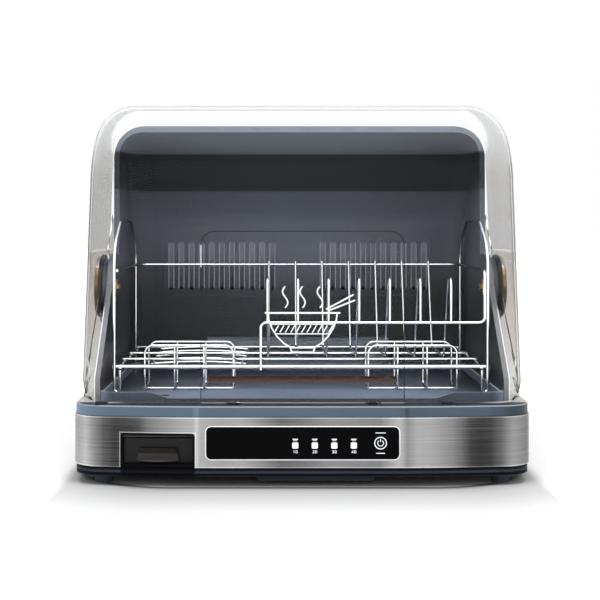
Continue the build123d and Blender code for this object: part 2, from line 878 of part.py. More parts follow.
def make_tray():
    """Drip tray with a low front lip that sweeps up to its corners, notched round the air outlet."""
    front = back(tray_front_back)
    rear = back(hood_inner_rear_back - slide_gap)
    tray = block(-tray_half, tray_half, front, rear, tray_bottom, tray_corner_rim)
    tray = round_uprights(tray, tray_corner - slide_gap, hood_inner_edge_round - slide_gap)
    notch_half = outlet_half + slide_gap
    notch = block(-notch_half, notch_half, back(outlet_front_back - slide_gap), rear + cut_over,
                  tray_bottom - cut_over, tray_corner_rim + cut_over)
    inner = block(-tray_half + tray_wall, tray_half - tray_wall, front + tray_wall, rear - tray_wall,
                  tray_floor_top, tray_corner_rim + cut_over)
    inner = round_uprights(inner, tray_corner - slide_gap - tray_wall,
                           hood_inner_edge_round - slide_gap - tray_wall)
    wall_half = notch_half + tray_wall
    inner -= block(-wall_half, wall_half, back(outlet_front_back - slide_gap) - tray_wall, rear + cut_over,
                   tray_bottom, tray_corner_rim + 2 * cut_over)
    tray = tray - notch - inner
    lip_points = [(-lip_rise_half, tray_corner_rim), (-lip_flat_half, tray_lip),
                  (lip_flat_half, tray_lip), (lip_rise_half, tray_corner_rim)]
    above = tray_corner_rim + cut_over
    outside = tray_half + cut_over
    edge = FilletPolyline((-outside, tray_corner_rim), *lip_points, (outside, tray_corner_rim),
                          radius=lip_round)
    rest = Polyline((outside, tray_corner_rim), (outside, above), (-outside, above),
                    (-outside, tray_corner_rim))
    face = make_face([*edge.edges(), *rest.edges()])
    tray -= rearward(face, front - cut_over, front + tray_corner)
    side_cut = block(-outside, outside, front + tray_corner, rear + cut_over, tray_rim, above)
    return tray - side_cut - rod_z(drain_x, back(drain_back), 0, tray_rim, drain_diameter / 2 - rest_gap)


def make_air_outlet():
    """Raised outlet cover at the back of the chamber floor, with a row of slots."""
    front = back(outlet_front_back)
    rear = back(hood_inner_rear_back)
    cover = block(-outlet_half, outlet_half, front, rear, pocket_z, outlet_top)
    top_front = cover.edges().filter_by(Axis.X).group_by(Axis.Z)[-1].sort_by(Axis.Y)[0]
    uprights = cover.edges().filter_by(Axis.Z).group_by(Axis.Y)[0]
    cover = fillet([top_front, *uprights], outlet_round)
    hollow = block(-outlet_half + outlet_wall, outlet_half - outlet_wall, front + outlet_wall,
                   rear - outlet_wall, pocket_z - cut_over, outlet_top - outlet_wall)
    top_front = hollow.edges().filter_by(Axis.X).group_by(Axis.Z)[-1].sort_by(Axis.Y)[0]
    uprights = hollow.edges().filter_by(Axis.Z).group_by(Axis.Y)[0]
    cover -= fillet([top_front, *uprights], outlet_round - outlet_wall)
    span = (outlet_slot_count - 1) * outlet_slot_pitch
    for index in range(outlet_slot_count):
        x = -span / 2 + index * outlet_slot_pitch
        cover -= Pos(x, front, outlet_slot_z) * Box(outlet_slot_width, 2 * outlet_wall + cut_over,
                                                    outlet_slot_height)
    return cover


def make_lamp():
    """Lamp tube behind the outlet slots."""
    return rod_x(back(lamp_back), lamp_z, -lamp_length / 2, lamp_length / 2, lamp_diameter / 2)


def make_lamp_sockets():
    """Sockets at both ends of the lamp, on the cover's end walls."""
    y = back(lamp_back)
    end = outlet_half - outlet_wall
    socket = block(lamp_length / 2 - socket_length / 2, end, y - socket_side / 2,
                   y + socket_side / 2, lamp_z - socket_side / 2, lamp_z + socket_side / 2)
    return both_sides(socket - rod_x(y, lamp_z, 0, lamp_length / 2, lamp_diameter / 2))


def side_region(*points):
    """Part of the side view, given by depths behind the front and heights."""
    return polygon(*[(back(depth), height) for depth, height in points])


def hood_side_view():
    """Side view of the hood: arched roof, straight back, sloping cheeks and pivot bosses."""
    centre = (pivot_y, pivot_z)
    rear = back(hood_rear_back)
    knee = math.radians(hood_knee_angle)
    spread = (math.cos(knee) * hood_radius - (rear - pivot_y)) / (math.cos(knee) - 1)
    low_centre = about(centre, hood_radius - spread, hood_knee_angle)
    top = about(centre, hood_radius, 90)
    knee_point = about(centre, hood_radius, hood_knee_angle)
    wall_point = (rear, low_centre[1])
    front = back(cheek_front_back)
    sides = [
        Line((front, rim_top), (rear, rim_top)),
        Line((rear, rim_top), wall_point),
        ThreePointArc(wall_point, about(low_centre, spread, hood_knee_angle / 2), knee_point),
        ThreePointArc(knee_point, about(centre, hood_radius, (90 + hood_knee_angle) / 2), top),
        Line(top, (front, top[1])),
        Line((front, top[1]), (front, rim_top)),
    ]
    whole = make_face(sides)
    line_height = pivot_z - pivot_back + cheek_line_drop * math.sqrt(2)
    cheek_top = pivot_z + cheek_top_share * cheek_boss_radius
    cheek = side_region((cheek_front_back, rim_top), (cheek_front_back, cheek_front_back + line_height),
                        (cheek_top - line_height, cheek_top), (hood_rim_back, cheek_top),
                        (hood_rim_back, rim_top))
    roof = side_region((hood_rim_back, rim_top), (hood_rim_back, lid_top), (base_depth, lid_top),
                       (base_depth, rim_top))
    outline = whole & (cheek + Pos(*centre) * Circle(cheek_boss_radius) + roof)
    reach = math.sqrt(cheek_boss_radius ** 2 - (hood_rim_back - pivot_back) ** 2)
    notch = outline.vertices().sort_by_distance((back(hood_rim_back), pivot_z + reach))[0]
    return fillet(notch, cheek_round)


def hood_inner_view():
    """Side view of the chamber: faceted roof and straight back wall."""
    centre = (pivot_y, pivot_z)
    rim = math.degrees(math.acos((hood_rim_back - pivot_back) / hood_inner_radius))
    wall = math.degrees(math.acos((hood_inner_rear_back - pivot_back) / hood_inner_radius))
    facets = [about(centre, hood_inner_radius, angle) for angle in (rim, *hood_roof_angles, wall)]
    front = back(0) - cut_over
    low = rim_top - cut_over
    view = polygon((front, low), (front, facets[0][1]), *facets, (back(hood_inner_rear_back), low))
    corners = [view.vertices().sort_by_distance(point)[0] for point in facets]
    return fillet(corners, hood_facet_round)


def edge_fillet(solid, half, radius, keep):
    """Round the long edges where a prism's sides meet its roof and back."""
    def wanted(edge):
        middle = edge @ 0.5
        return abs(abs(middle.X) - half) < fit_gap and keep(middle)
    return fillet(solid.edges().filter_by(wanted), radius)


def vent_places():
    """Middles of the two vent windows."""
    return [side * (vent_near_x + vent_width / 2) for side in (-1, 1)]


def make_hood():
    """Rear housing: a hood with cheeks, pivot bosses and two vent windows."""
    hood = across(hood_side_view(), hood_half)
    rim = back(hood_rim_back)
    hood = edge_fillet(hood, hood_half, hood_edge_round,
                       lambda place: place.Y > rim + fit_gap and place.Z > rim_top + fit_gap)
    chamber = across(hood_inner_view(), pocket_half)
    chamber = edge_fillet(chamber, pocket_half, hood_inner_edge_round,
                          lambda place: place.Y > back(0) and place.Z > rim_top)
    hood -= chamber
    for x in vent_places():
        inner = back(hood_inner_rear_back)
        seat = Pos(x, vent_z) * Rectangle(vent_width + 2 * fit_gap, vent_height + 2 * fit_gap)
        hood -= rearward(seat, inner - cut_over, inner + vent_plate + fit_gap)
        opening = Pos(x, vent_z) * Rectangle(vent_width - 2 * vent_ledge, vent_height - 2 * vent_ledge)
        hood -= rearward(opening, inner, back(base_depth))
    boss = rod_x(pivot_y, pivot_z, hood_half - hood_side_wall, disc_start - rest_gap, boss_radius)
    bore = rod_x(pivot_y, pivot_z, 0, lid_half, pin_diameter / 2 + run_gap)
    for solid in both_sides(boss):
        hood += solid
    for solid in both_sides(bore):
        hood -= solid
    return hood


def make_vents():
    """Slotted plates in the hood's vent windows."""
    plates = []
    for x in vent_places():
        face = Pos(x, vent_z) * Rectangle(vent_width, vent_height)
        span = (vent_slot_count - 1) * vent_slot_pitch
        for index in range(vent_slot_count):
            slot = Rectangle(vent_slot_width, vent_slot_length)
            slot = chamfer(slot.vertices(), vent_slot_chamfer)
            face -= Pos(x - span / 2 + index * vent_slot_pitch, vent_z) * slot
        plates.append(rearward(face, back(hood_inner_rear_back), back(hood_inner_rear_back) + vent_plate))
    return plates


def make_filters():
    """Filter mats in the openings behind the slotted plates."""
    start = back(hood_inner_rear_back) + vent_plate
    mats = []
    for x in vent_places():
        width = vent_width - 2 * (vent_ledge + fit_gap)
        mat = Pos(x, vent_z) * Rectangle(width, vent_height - 2 * (vent_ledge + fit_gap))
        mats.append(rearward(mat, start, start + filter_thickness))
    return mats


def washer_x():
    """Where the washer lies on the hood's inner side."""
    return pocket_half - washer_thickness


def make_pins():
    """Stepped pivot pins, from the nut inside to the blind bore of the disc."""
    end = disc_end - disc_chamfer - fit_gap
    pin = rod_x(pivot_y, pivot_z, pocket_half, end, pin_diameter / 2)
    pin += rod_x(pivot_y, pivot_z, washer_x() - nut_thickness, pocket_half, pin_stub / 2)
    return both_sides(pin)


def make_washers():
    """Washers under the nuts."""
    washer = rod_x(pivot_y, pivot_z, washer_x(), pocket_half, washer_diameter / 2)
    return both_sides(washer - rod_x(pivot_y, pivot_z, 0, lid_half, pin_stub / 2 + run_gap))


def make_nuts():
    """Hexagon nuts on the pins' inner ends."""
    face = Plane(origin=(washer_x() - nut_thickness, pivot_y, pivot_z), z_dir=(1, 0, 0)) * RegularPolygon(
        nut_flats / 2, 6, major_radius=False)
    nut = extrude(face, nut_thickness, dir=(1, 0, 0))
    return both_sides(nut - rod_x(pivot_y, pivot_z, 0, lid_half, pin_stub / 2 + run_gap))


def make_discs():
    """Round bodies set into the lid's sides, which turn about the pins."""
    disc = rod_x(pivot_y, pivot_z, disc_start, disc_end, disc_radius)
    disc = chamfer(disc.faces().sort_by(Axis.X)[-1].edges(), disc_chamfer)
    bore = rod_x(pivot_y, pivot_z, 0, disc_end - disc_chamfer, pin_diameter / 2 + run_gap)
    return both_sides(disc - bore)


def make_caps():
    """Bevelled metal rings on the discs."""
    start = disc_end
    cap = rod_x(pivot_y, pivot_z, start, start + cap_thickness, disc_radius - disc_chamfer)
    cap -= rod_x(pivot_y, pivot_z, 0, start + 2 * cap_thickness, cap_inner_radius)
    return both_sides(chamfer(cap.faces().sort_by(Axis.X)[-1].edges(), cap_chamfer))


def lid_view(inset, past):
    """Side view of the lid's block: upright front, round bend and level top."""
    front = back(lid_front_back + inset)
    top = lid_top - inset
    rear = back(lid_rear_back) + past
    view = polygon((front, lid_bottom - past), (front, top), (rear, top), (rear, lid_bottom - past))
    corner = view.vertices().sort_by_distance((front, top))[0]
    return fillet(corner, lid_bend - inset)


def lid_half_at(height, inset):
    """Half the lid's width at a height; its sides lean in towards the top."""
    lean = math.radians(lid_lean_angle)
    return lid_half - (height - lid_bottom) * math.tan(lean) - inset / math.cos(lean)


def lid_block(inset, past):
    """Solid form of the lid, set in and lengthened past its open ends."""
    rear = back(lid_rear_back) + past
    low = lid_bottom - past
    high = lid_top + cut_over
    low_half = lid_half_at(low, inset)
    high_half = lid_half_at(high, inset)
    front_view = polygon((-low_half, low), (low_half, low), (high_half, high), (-high_half, high))
    solid = across(lid_view(inset, past), base_width)
    solid &= rearward(front_view, back(0) - cut_over, rear + cut_over)

    def wanted(edge):
        middle = edge @ 0.5
        at_side = abs(abs(middle.X) - lid_half_at(middle.Z, inset)) < fit_gap
        return at_side and middle.Y < rear - fit_gap and middle.Z > low + fit_gap
    return fillet(solid.edges().filter_by(wanted), lid_edge_round - inset)


def make_lid():
    """Clear visor lid with a raised middle panel; its sides are cut along the cheeks' slope."""
    lid = lid_block(0, 0) - lid_block(lid_wall, cut_over)
    line_height = pivot_z - pivot_back + (cheek_line_drop - lid_overlap) * math.sqrt(2)
    edge_back = lid_bottom - line_height
    keep = side_region((0, lid_bottom), (edge_back, lid_bottom), (base_depth, base_depth + line_height),
                       (0, base_depth + line_height))
    keep += Pos(pivot_y, pivot_z) * Circle(disc_radius + lid_disc_ring)
    lid = lid & across(keep, base_width)
    panel = Pos(0, (raised_top + lid_bottom) / 2) * Rectangle(2 * raised_half, raised_top - lid_bottom)
    panel = fillet(panel.vertices().group_by(Axis.Y)[-1], raised_corner)
    front = back(lid_front_back)
    lid += rearward(panel, front - raised_step, front + lid_wall)
    for hole in both_sides(rod_x(pivot_y, pivot_z, pocket_half, base_width, disc_radius)):
        lid -= hole
    return lid


def make_lid_pull():
    """Lip across the lid's front, grooved underneath for the fingertips."""
    face = back(lid_front_back) - raised_step
    high = lid_pull_z + lid_pull_height / 2
    low = lid_pull_z - lid_pull_height / 2
    tip = face - lid_pull_reach
    view = polygon((face, high), (tip, high - lid_pull_groove), (tip, low),
                   (tip + lid_pull_groove, low), (face - lid_pull_groove, low + lid_pull_groove), (face, low))
    pull = across(view, lid_pull_half)
    ends = pull.faces().sort_by(Axis.X)
    tips = [edge for end in (ends[0], ends[-1]) for edge in end.edges().sort_by(Axis.Y)[:1]]
    return fillet(tips, lid_pull_round)


def make_arches():
    """Arched side frames of the rack, with a looped foot at the front."""
    def side_point(depth, height, x=arch_x):
        return (x, back(depth), height)
    low = rack_foot + rail_r
    points = [
        side_point(arch_front_back, foot_loop_top, arch_x - foot_loop),
        side_point(arch_front_back, low, arch_x - foot_loop),
        side_point(arch_front_back, low),
        side_point(arch_front_back, arch_shoulder),
        side_point(arch_front_back + arch_lean, arch_top),
        side_point(arch_rear_back - arch_lean, arch_top),
        side_point(arch_rear_back, arch_shoulder),
        side_point(arch_rear_back, rack_foot),
    ]
    loop_bend = foot_loop / 2 - run_gap
    arch = wire(points, rail_r, [loop_bend, loop_bend, arch_bend, arch_bend, arch_bend, arch_bend])
    return both_sides(arch)


def make_top_rail():
    """One wire: left side, back and right side of the top, then down and along the front."""
    front = back(arch_front_back)
    rear = back(top_rail_rear_back)
    points = [
        (-rail_x, front - rail_r, top_rail_z),
        (-rail_x, rear, top_rail_z),
        (rail_x, rear, top_rail_z),
        (rail_x, front, top_rail_z),
        (rail_x, front, mid_rail_z),
        (mid_rail_left, front, mid_rail_z),
        (mid_rail_left, front, bar_z - rail_end_drop),
    ]
    small = rail_bend / 2
    return wire(points, rail_r, [rail_bend, rail_bend, small, small, small])


def make_front_bar():
    """Thick bar across the front legs."""
    half = arch_x + bar_overhang
    return rod_x(back(bar_back), bar_z, -half, half, bar_r)


def make_floor_bars():
    """Bars across the rack's floor and the side rails that carry them."""
    bars = [rod_x(back(depth), floor_bar_z, -arch_x + rail_r, arch_x - rail_r, rail_r)
            for depth in floor_bar_backs]
    start = back(bar_back) + bar_r + fit_gap
    rail = rod_y(rail_x, side_rail_z, start, back(arch_rear_back), rail_r)
    return bars + both_sides(rail)


def divider_points():
    """Side view of a plate divider, from the top rail at the back to the mid rail at the front."""
    lean = math.radians(divider_lean)
    touch = rail_r + thin_r
    rail_y = back(top_rail_rear_back)
    seat = (rail_y - touch * math.cos(lean), top_rail_z + touch * math.sin(lean))
    end = (seat[0] + divider_past_rail * math.sin(lean), seat[1] + divider_past_rail * math.cos(lean))
    foot = seat[0] - (seat[1] - divider_floor_z) * math.tan(lean)
    front = back(arch_front_back) + touch
    return [end, (foot, divider_floor_z), (back(divider_foot_back), divider_floor_z),
            (front + divider_top_width, divider_top), (front, divider_top), (front, mid_rail_z - rail_r)]


def make_dividers():
    """Plate dividers, each one wire that ends in a hairpin at the front."""
    dividers = []
    bends = [divider_foot_bend, divider_foot_bend, divider_bend, divider_bend]
    for index in range(divider_count):
        x = divider_first_x + index * divider_pitch
        dividers.append(wire([(x, y, z) for y, z in divider_points()], thin_r, bends))
    return dividers


def make_bowl_grid():
    """Arched bowl rests on two rails that dip towards the front."""
    touch = rail_r + thin_r
    front = back(floor_bar_backs[0]) + touch
    rear = back(floor_bar_backs[-1]) + bowl_overhang
    high = floor_bar_z - touch
    low = high - bowl_dip
    slope = math.atan2(high - low, rear - bowl_overhang - front)
    rise = (rear - front) * math.tan(slope)
    rails = [wire([(x, front, floor_bar_z), (x, front, low), (x, rear, low + rise)], thin_r, [bowl_bend])
             for x in (bowl_left, bowl_right)]
    rests = []
    for index in range(bowl_count):
        y = back(bowl_first_back + index * bowl_pitch)
        z = low + (y - front) * math.tan(slope) + thin_diameter / math.cos(slope)
        middle = (bowl_left + bowl_right) / 2
        path = ThreePointArc((bowl_left - bowl_overhang, y, z), (middle, y, z + bowl_rise),
                             (bowl_right + bowl_overhang, y, z))
        section = Plane(origin=path @ 0, z_dir=path % 0) * RegularPolygon(thin_r, wire_sides)
        rests.append(sweep(section, path))
    return rails + rests


def make_basket(side):
    """Cutlery basket of two hoops, cross wires underneath and one long wire below them."""
    middle = side * basket_x
    half = basket_width / 2
    front = back(bar_back) + bar_r + basket_r
    rear = back(basket_rear_back)
    base = basket_bottom
    pieces = []
    for y in (front, rear):
        points = [(middle - half, y, base + basket_r), (middle - half, y, basket_top),
                  (middle + half, y, basket_top), (middle + half, y, base + basket_r)]
        pieces.append(wire(points, basket_r, basket_bend))
    for x in (middle - half, middle + half):
        pieces.append(rod_y(x, base, front - basket_r, rear + basket_r, basket_r))
    for x in (middle - basket_inner_half, middle + basket_inner_half):
        points = [(x, front + basket_wire, basket_top + basket_r), (x, front + basket_wire, base),
                  (x, rear - basket_wire, base), (x, rear - basket_wire, basket_top + basket_r)]
        pieces.append(wire(points, basket_r, basket_foot_bend))
    pieces.append(rod_x((front + rear) / 2, base - basket_wire, middle - half - basket_r,
                        middle + half + basket_r, basket_r))
    return pieces


parts = {
    "rubber_feet": make_feet(),
    "foot_screws": make_foot_screws(),
    "bottom_pan": make_pan(),
    "steel_band": make_band(),
    "base_shell": make_shell(),
    "panel_glass": make_window_glass(),
    "panel_bezel": make_bezel(),
    "indicator_lenses": make_lenses(),
    "power_button": make_key(),
    "tact_switch": make_tact_switch(),
    "control_board": make_control_board(),
    "power_board": make_power_board(),
    "drawer_sleeve": make_sleeve(),
    "drip_drawer": make_drawer(),
    "drawer_pull": make_pull(),
    "blower_housing": make_blower_housing(),
    "blower_wheel": make_blower_wheel(),
    "blower_shaft": make_blower_shaft(),
    "blower_motor": make_blower_motor(),
    "heater_housing": make_heater_housing(),
    "heater_element": make_heater_element(),
    "cord_inlet": make_cord_inlet(),
    "rim_frame": make_rim(),
    "rim_bumpers": make_bumpers(fit_gap / 4),
    "drip_tray": make_tray(),
    "air_outlet": make_air_outlet(),
    "uv_lamp": make_lamp(),
    "lamp_sockets": make_lamp_sockets(),
    "rear_housing": make_hood(),
    "vent_grilles": make_vents(),
    "vent_filters": make_filters(),
    "pivot_pins": make_pins(),
    "pivot_washers": make_washers(),
    "brass_nuts": make_nuts(),
    "pivot_discs": make_discs(),
    "brass_caps": make_caps(),
    "lid": make_lid(),
    "lid_pull": make_lid_pull(),
    "side_arches": make_arches(),
    "top_rail": make_top_rail(),
    "front_bar": make_front_bar(),
    "floor_bars": make_floor_bars(),
    "plate_dividers": make_dividers(),
    "bowl_grid": make_bowl_grid(),
    "basket_left": make_basket(-1),
    "basket_right": make_basket(1),
}

os.makedirs("parts", exist_ok=True)
for name, shape in parts.items():
    solids = shape if isinstance(shape, list) else [shape]
    whole = Compound(children=[solid for piece in solids for solid in piece.solids()])
    export_step(whole, os.path.join("parts", name + ".step"))
    box = whole.bounding_box()
    print(f"{name}: {len(whole.solids())} solids, {box.size.X:.1f} x {box.size.Y:.1f} x {box.size.Z:.1f}")
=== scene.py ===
"""Looks of the electric dish dryer: finishes for its solids, prints, small trim and a plain studio."""

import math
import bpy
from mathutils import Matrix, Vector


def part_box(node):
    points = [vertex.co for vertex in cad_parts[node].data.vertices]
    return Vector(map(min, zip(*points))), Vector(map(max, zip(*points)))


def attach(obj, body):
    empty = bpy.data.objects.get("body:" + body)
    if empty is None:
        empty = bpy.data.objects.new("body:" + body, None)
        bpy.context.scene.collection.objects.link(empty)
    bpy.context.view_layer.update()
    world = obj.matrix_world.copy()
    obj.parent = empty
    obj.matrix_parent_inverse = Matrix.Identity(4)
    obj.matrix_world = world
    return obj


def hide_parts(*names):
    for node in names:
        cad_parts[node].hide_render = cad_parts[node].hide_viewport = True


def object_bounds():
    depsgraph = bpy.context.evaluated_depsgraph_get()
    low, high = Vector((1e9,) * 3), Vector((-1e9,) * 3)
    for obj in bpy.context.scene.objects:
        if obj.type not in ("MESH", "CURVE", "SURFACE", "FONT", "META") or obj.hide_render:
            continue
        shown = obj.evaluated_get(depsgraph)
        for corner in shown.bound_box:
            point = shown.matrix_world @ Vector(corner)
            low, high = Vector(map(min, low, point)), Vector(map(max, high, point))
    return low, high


bl_info = {
    "name": "Dish dryer looks",
    "version": (1, 0, 0),
    "blender": (4, 5, 0),
    "location": "View3D > Sidebar > Dish dryer",
    "description": "Dresses the dish dryer's solids and sets up its studio",
    "category": "Object",
}

import bmesh
import bpy
from bpy.props import FloatProperty, FloatVectorProperty, PointerProperty
from mathutils import Vector

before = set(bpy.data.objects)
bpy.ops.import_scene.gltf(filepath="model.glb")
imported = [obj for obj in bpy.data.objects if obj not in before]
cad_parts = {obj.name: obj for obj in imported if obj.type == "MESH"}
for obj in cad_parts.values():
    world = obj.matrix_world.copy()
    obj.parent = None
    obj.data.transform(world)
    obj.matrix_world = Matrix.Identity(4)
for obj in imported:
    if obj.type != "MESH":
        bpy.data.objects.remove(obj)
cad_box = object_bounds()

MM = 0.001
BLACK = (0.0, 0.0, 0.0, 1.0)
WHITE = (1.0, 1.0, 1.0, 1.0)
IMAGE_SIDE = 600
# Floor: its colour, and the corner of the painted shadow round the object.
FLOOR = (0.82, 0.82, 0.825)
FLOOR_CORNER = 0.1
# Half the width of the base, and the heights between which the housing's painted light and shade run.
BAND_HALF = 0.2275
HOOD_SPAN = (0.06, 0.38)
# Vent slots: how many in a plate, the plate's middle, their pitch; the place, half length and rise of the
# painted highlight strips along their edges.
VENT_SLOTS = 11
VENT_MIDDLE = 0.093
VENT_PITCH = 0.0124
SLOT_EDGE = 3.1 * MM
SLOT_HALF = 27.5 * MM
SLOT_RISE = 0.3 * MM
# Strokes of the plain numbers 0 to 4, in millimetres.
DIGITS = (
    ((0.0, 0.0), (0.75, 0.3), (0.75, 2.1), (0.0, 2.4), (-0.75, 2.1), (-0.75, 0.3), (0.0, 0.0)),
    ((-0.5, 1.9), (0.1, 2.4), (0.1, 0.0)),
    ((-0.75, 2.1), (0.0, 2.4), (0.75, 2.0), (0.6, 1.3), (-0.8, 0.0), (0.85, 0.0)),
    ((-0.75, 2.2), (0.6, 2.4), (0.5, 1.5), (-0.1, 1.25), (0.7, 0.9), (0.5, 0.1), (-0.75, 0.1)),
    ((0.4, 0.0), (0.4, 2.4), (-0.85, 0.7), (0.85, 0.7)),
)
# Lid: its box; its raised panel's half width, top, corner and step; its corner in plan, wall and lean.
LID_LOW, LID_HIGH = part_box("lid")
PANEL_HALF = 0.1
PANEL_TOP = 0.25
PANEL_CORNER = 0.014
PANEL_STEP = 1.8 * MM
LID_CORNER = 0.04
LID_WALL = 2.5 * MM
LID_LEAN = math.tan(math.radians(2.2))
# Lines of painted shade and highlight along the panel's edge: how far inside it, their rise and foot, and
# where the left one turns light.
LINE_INSET = 0.6 * MM
LINE_RISE = 0.15 * MM
LINE_FOOT = 0.0835
LINE_TURN = 0.214
# Spans of the painted highlight along the lid's lower edge between the stops: start, end, and whether it is on
# the raised panel.
EDGE_SPANS = ((-0.19, -0.101, False), (-0.0995, -0.075, True), (-0.06, 0.061, True),
              (0.077, 0.0995, True), (0.101, 0.134, False), (0.151, 0.181, False))
# Rear parts of the lid's sides: radius, gap to the sloping edge, distance from the discs, steps of a spoke,
# and spokes to the slope, to the lower edge and to the rear. Turns are in degrees from the rear over the top:
# square to the slope, down, over which they round off, and left free where the slope meets the ring.
SKIRT_RADIUS = 0.095
SKIRT_GAP = 0.1 * MM
RING_WIDTH = 6.3 * MM
SPOKE_STEPS = 12
SPOKES = (8, 8, 40)
SLOPE_TURN = 135
DOWN_TURN = 270
ROUND_TURN = 30
FREE_TURN = 0.5


def colour(name, description, default):
    """Colour property."""
    return FloatVectorProperty(name=name, description=description, default=default, subtype="COLOR",
                               size=3, min=0.0, max=1.0)


def length(name, description, default):
    """Length property in metres."""
    return FloatProperty(name=name, description=description, default=default, unit="LENGTH")


def number(name, description, default):
    """Plain number."""
    return FloatProperty(name=name, description=description, default=default)


class DryerColours(bpy.types.PropertyGroup):
    """Colours of the dryer's pieces."""
    # Ends of the band's painted reflection and shade.
    steel: colour("Steel", "Brushed band at its brightest", (0.62, 0.62, 0.62))
    steel_dark: colour("Steel shade", "Brushed band at its darkest", (0.03, 0.03, 0.031))
    # Lightest rim colour, which its painted light and shade scale.
    rim: colour("Rim", "Plastic rim over the band at its lightest", (0.196, 0.29, 0.39))
    # Lightest tray colour, which its painted light and shade scale.
    tray: colour("Tray", "Drip tray at its lightest", (0.15, 0.18, 0.25))
    outlet: colour("Outlet", "Air outlet cover", (0.1, 0.12, 0.15))
    # Ends of the housing's painted light and shade, and the lightest painted light on its front edge.
    hood: colour("Hood", "Rear housing at its lightest", (0.15, 0.165, 0.2))
    hood_dark: colour("Hood shade", "Rear housing at its darkest", (0.012, 0.013, 0.016))
    hood_edge: colour("Hood edge", "Front edge of the rear housing at its lightest", (0.66, 0.67, 0.72))
    # Lightest foam colour, which its painted shade scales.
    foam: colour("Filter", "Filter foam behind the slots at its lightest", (0.22, 0.23, 0.27))
    # Colour of the painted highlight strips along the slots.
    slot_highlight: colour("Vent edges", "Raised edges of the slots", (0.3, 0.32, 0.36))
    # Lightest pan colour, which its painted light and shade scale.
    pan: colour("Pan", "Bottom pan at its lightest", (0.045, 0.053, 0.07))
    rubber: colour("Rubber", "Stops and cord inlet", (0.012, 0.012, 0.013))
    feet: colour("Feet", "Feet", (0.06, 0.075, 0.1))
    window: colour("Window", "Control window", (0.0015, 0.0015, 0.002))
    marks: colour("Marks", "Lit marks of the window", (0.85, 0.88, 0.92))
    drawer: colour("Drawer", "Water drawer", (0.0055, 0.0055, 0.006))
    # Near black recess: painted shade.
    sleeve: colour("Recess", "Drawer recess", (0.003, 0.003, 0.0035))
    # Lightest pull colour, at its painted highlight.
    drawer_pull: colour("Drawer pull", "Pull of the drawer at its lightest", (0.085, 0.075, 0.065))
    brass: colour("Brass", "Nuts and rings of the pivots", (0.52, 0.33, 0.12))
    wire: colour("Wire", "Bright wire of the rack", (0.86, 0.87, 0.88))
    # Colour of the wire's painted dark reflection where it turns away.
    wire_dark_reflection: colour("Wire edge", "The wire where it turns away", (0.05, 0.055, 0.065))
    lid: colour("Lid", "Clear lid", (0.97, 0.975, 0.975))
    # Colour of the painted reflection on the lid's side walls seen aslant.
    lid_side_reflection: colour("Lid edge", "The clear lid seen along its side walls", (0.37, 0.34, 0.305))
    lid_pull: colour("Lid pull", "Smoked pull strip", (0.2, 0.12, 0.08))
    lid_print: colour("Print", "Line print on the lid", (0.95, 0.96, 0.96))


class DryerSizes(bpy.types.PropertyGroup):
    """Sizes of the trim that the solids don't have."""
    print_z: length("Print height", "Middle of the lid's print", 0.1635)
    print_line: length("Print line", "Width of the print's lines", 0.0015)
    ink: length("Ink", "Thickness of printed marks", 0.00012)
    brush: number("Brushing", "Lines of the steel's brushing for each metre of height", 900.0)
    grain: number("Grain", "Grains of the moulded plastic for each metre", 1400.0)


class DryerStudio(bpy.types.PropertyGroup):
    """Camera and lamps."""
    camera_x: length("Camera X", "Sideways place of the camera", -0.024)
    camera_ahead: length("Camera distance", "From the camera to the band's front", 1.2)
    camera_z: length("Camera height", "Height of the camera", 0.2555)
    focal_pixels: number("Focal length", "In pixels of the square frame", 1234.0)
    aim_x: number("Aim X", "Pixel that the camera's axis meets, from the left", 278.0)
    aim_y: number("Aim Y", "Pixel that the camera's axis meets, from the top", 225.0)
    key: number("Key lamp", "Power in watts of the lamp over the front", 13.0)
    front: number("Front lamp", "Power in watts of the lamp ahead", 6.0)
    side: number("Side lamps", "Power in watts of each side lamp", 3.0)
    ambient: number("Ambient", "Strength of the soft light from all round", 0.3)


def settings():
    """Colours, sizes and studio of the scene."""
    scene = bpy.context.scene
    return scene.dryer_colours, scene.dryer_sizes, scene.dryer_studio


# Node helpers

def add(tree, kind, values=None, **attributes):
    """New node with attributes, and with socket values by name or number."""
    item = tree.nodes.new(kind)
    for key, value in attributes.items():
        setattr(item, key, value)
    for key, value in (values or {}).items():
        socket = item.inputs[key]
        if isinstance(value, bpy.types.NodeSocket):
            tree.links.new(value, socket)
        else:
            socket.default_value = value
    return item


def effect_group(name, inputs):
    """New shader node group; inputs are its defaults by name. Gives the tree and its input node."""
    tree = bpy.data.node_groups.new(name, "ShaderNodeTree")
    for label, default in inputs.items():
        kind = "NodeSocketColor" if isinstance(default, tuple) else "NodeSocketFloat"
        tree.interface.new_socket(label, in_out="INPUT", socket_type=kind).default_value = default
    return tree, tree.nodes.new("NodeGroupInput")


def put_out(tree, colour_out, roughness, uneven, height):
    """Outputs of an effect: its colour, its roughness with an unevenness added, and its height."""
    polish = math_node(tree, "ADD", roughness, uneven, True)
    results = {"Colour": colour_out, "Roughness": polish, "Height": height}
    for label in results:
        kind = "NodeSocketColor" if label == "Colour" else "NodeSocketFloat"
        tree.interface.new_socket(label, in_out="OUTPUT", socket_type=kind)
    add(tree, "NodeGroupOutput", results)


def math_node(tree, operation, first, second=0.0, clamp=False):
    """Math node's value."""
    item = add(tree, "ShaderNodeMath", {0: first, 1: second}, operation=operation, use_clamp=clamp)
    return item.outputs[0]


def mix_colour(tree, share, first, second):
    """Mix of two colours."""
    return add(tree, "ShaderNodeMix", {0: share, 6: first, 7: second}, data_type="RGBA").outputs[2]


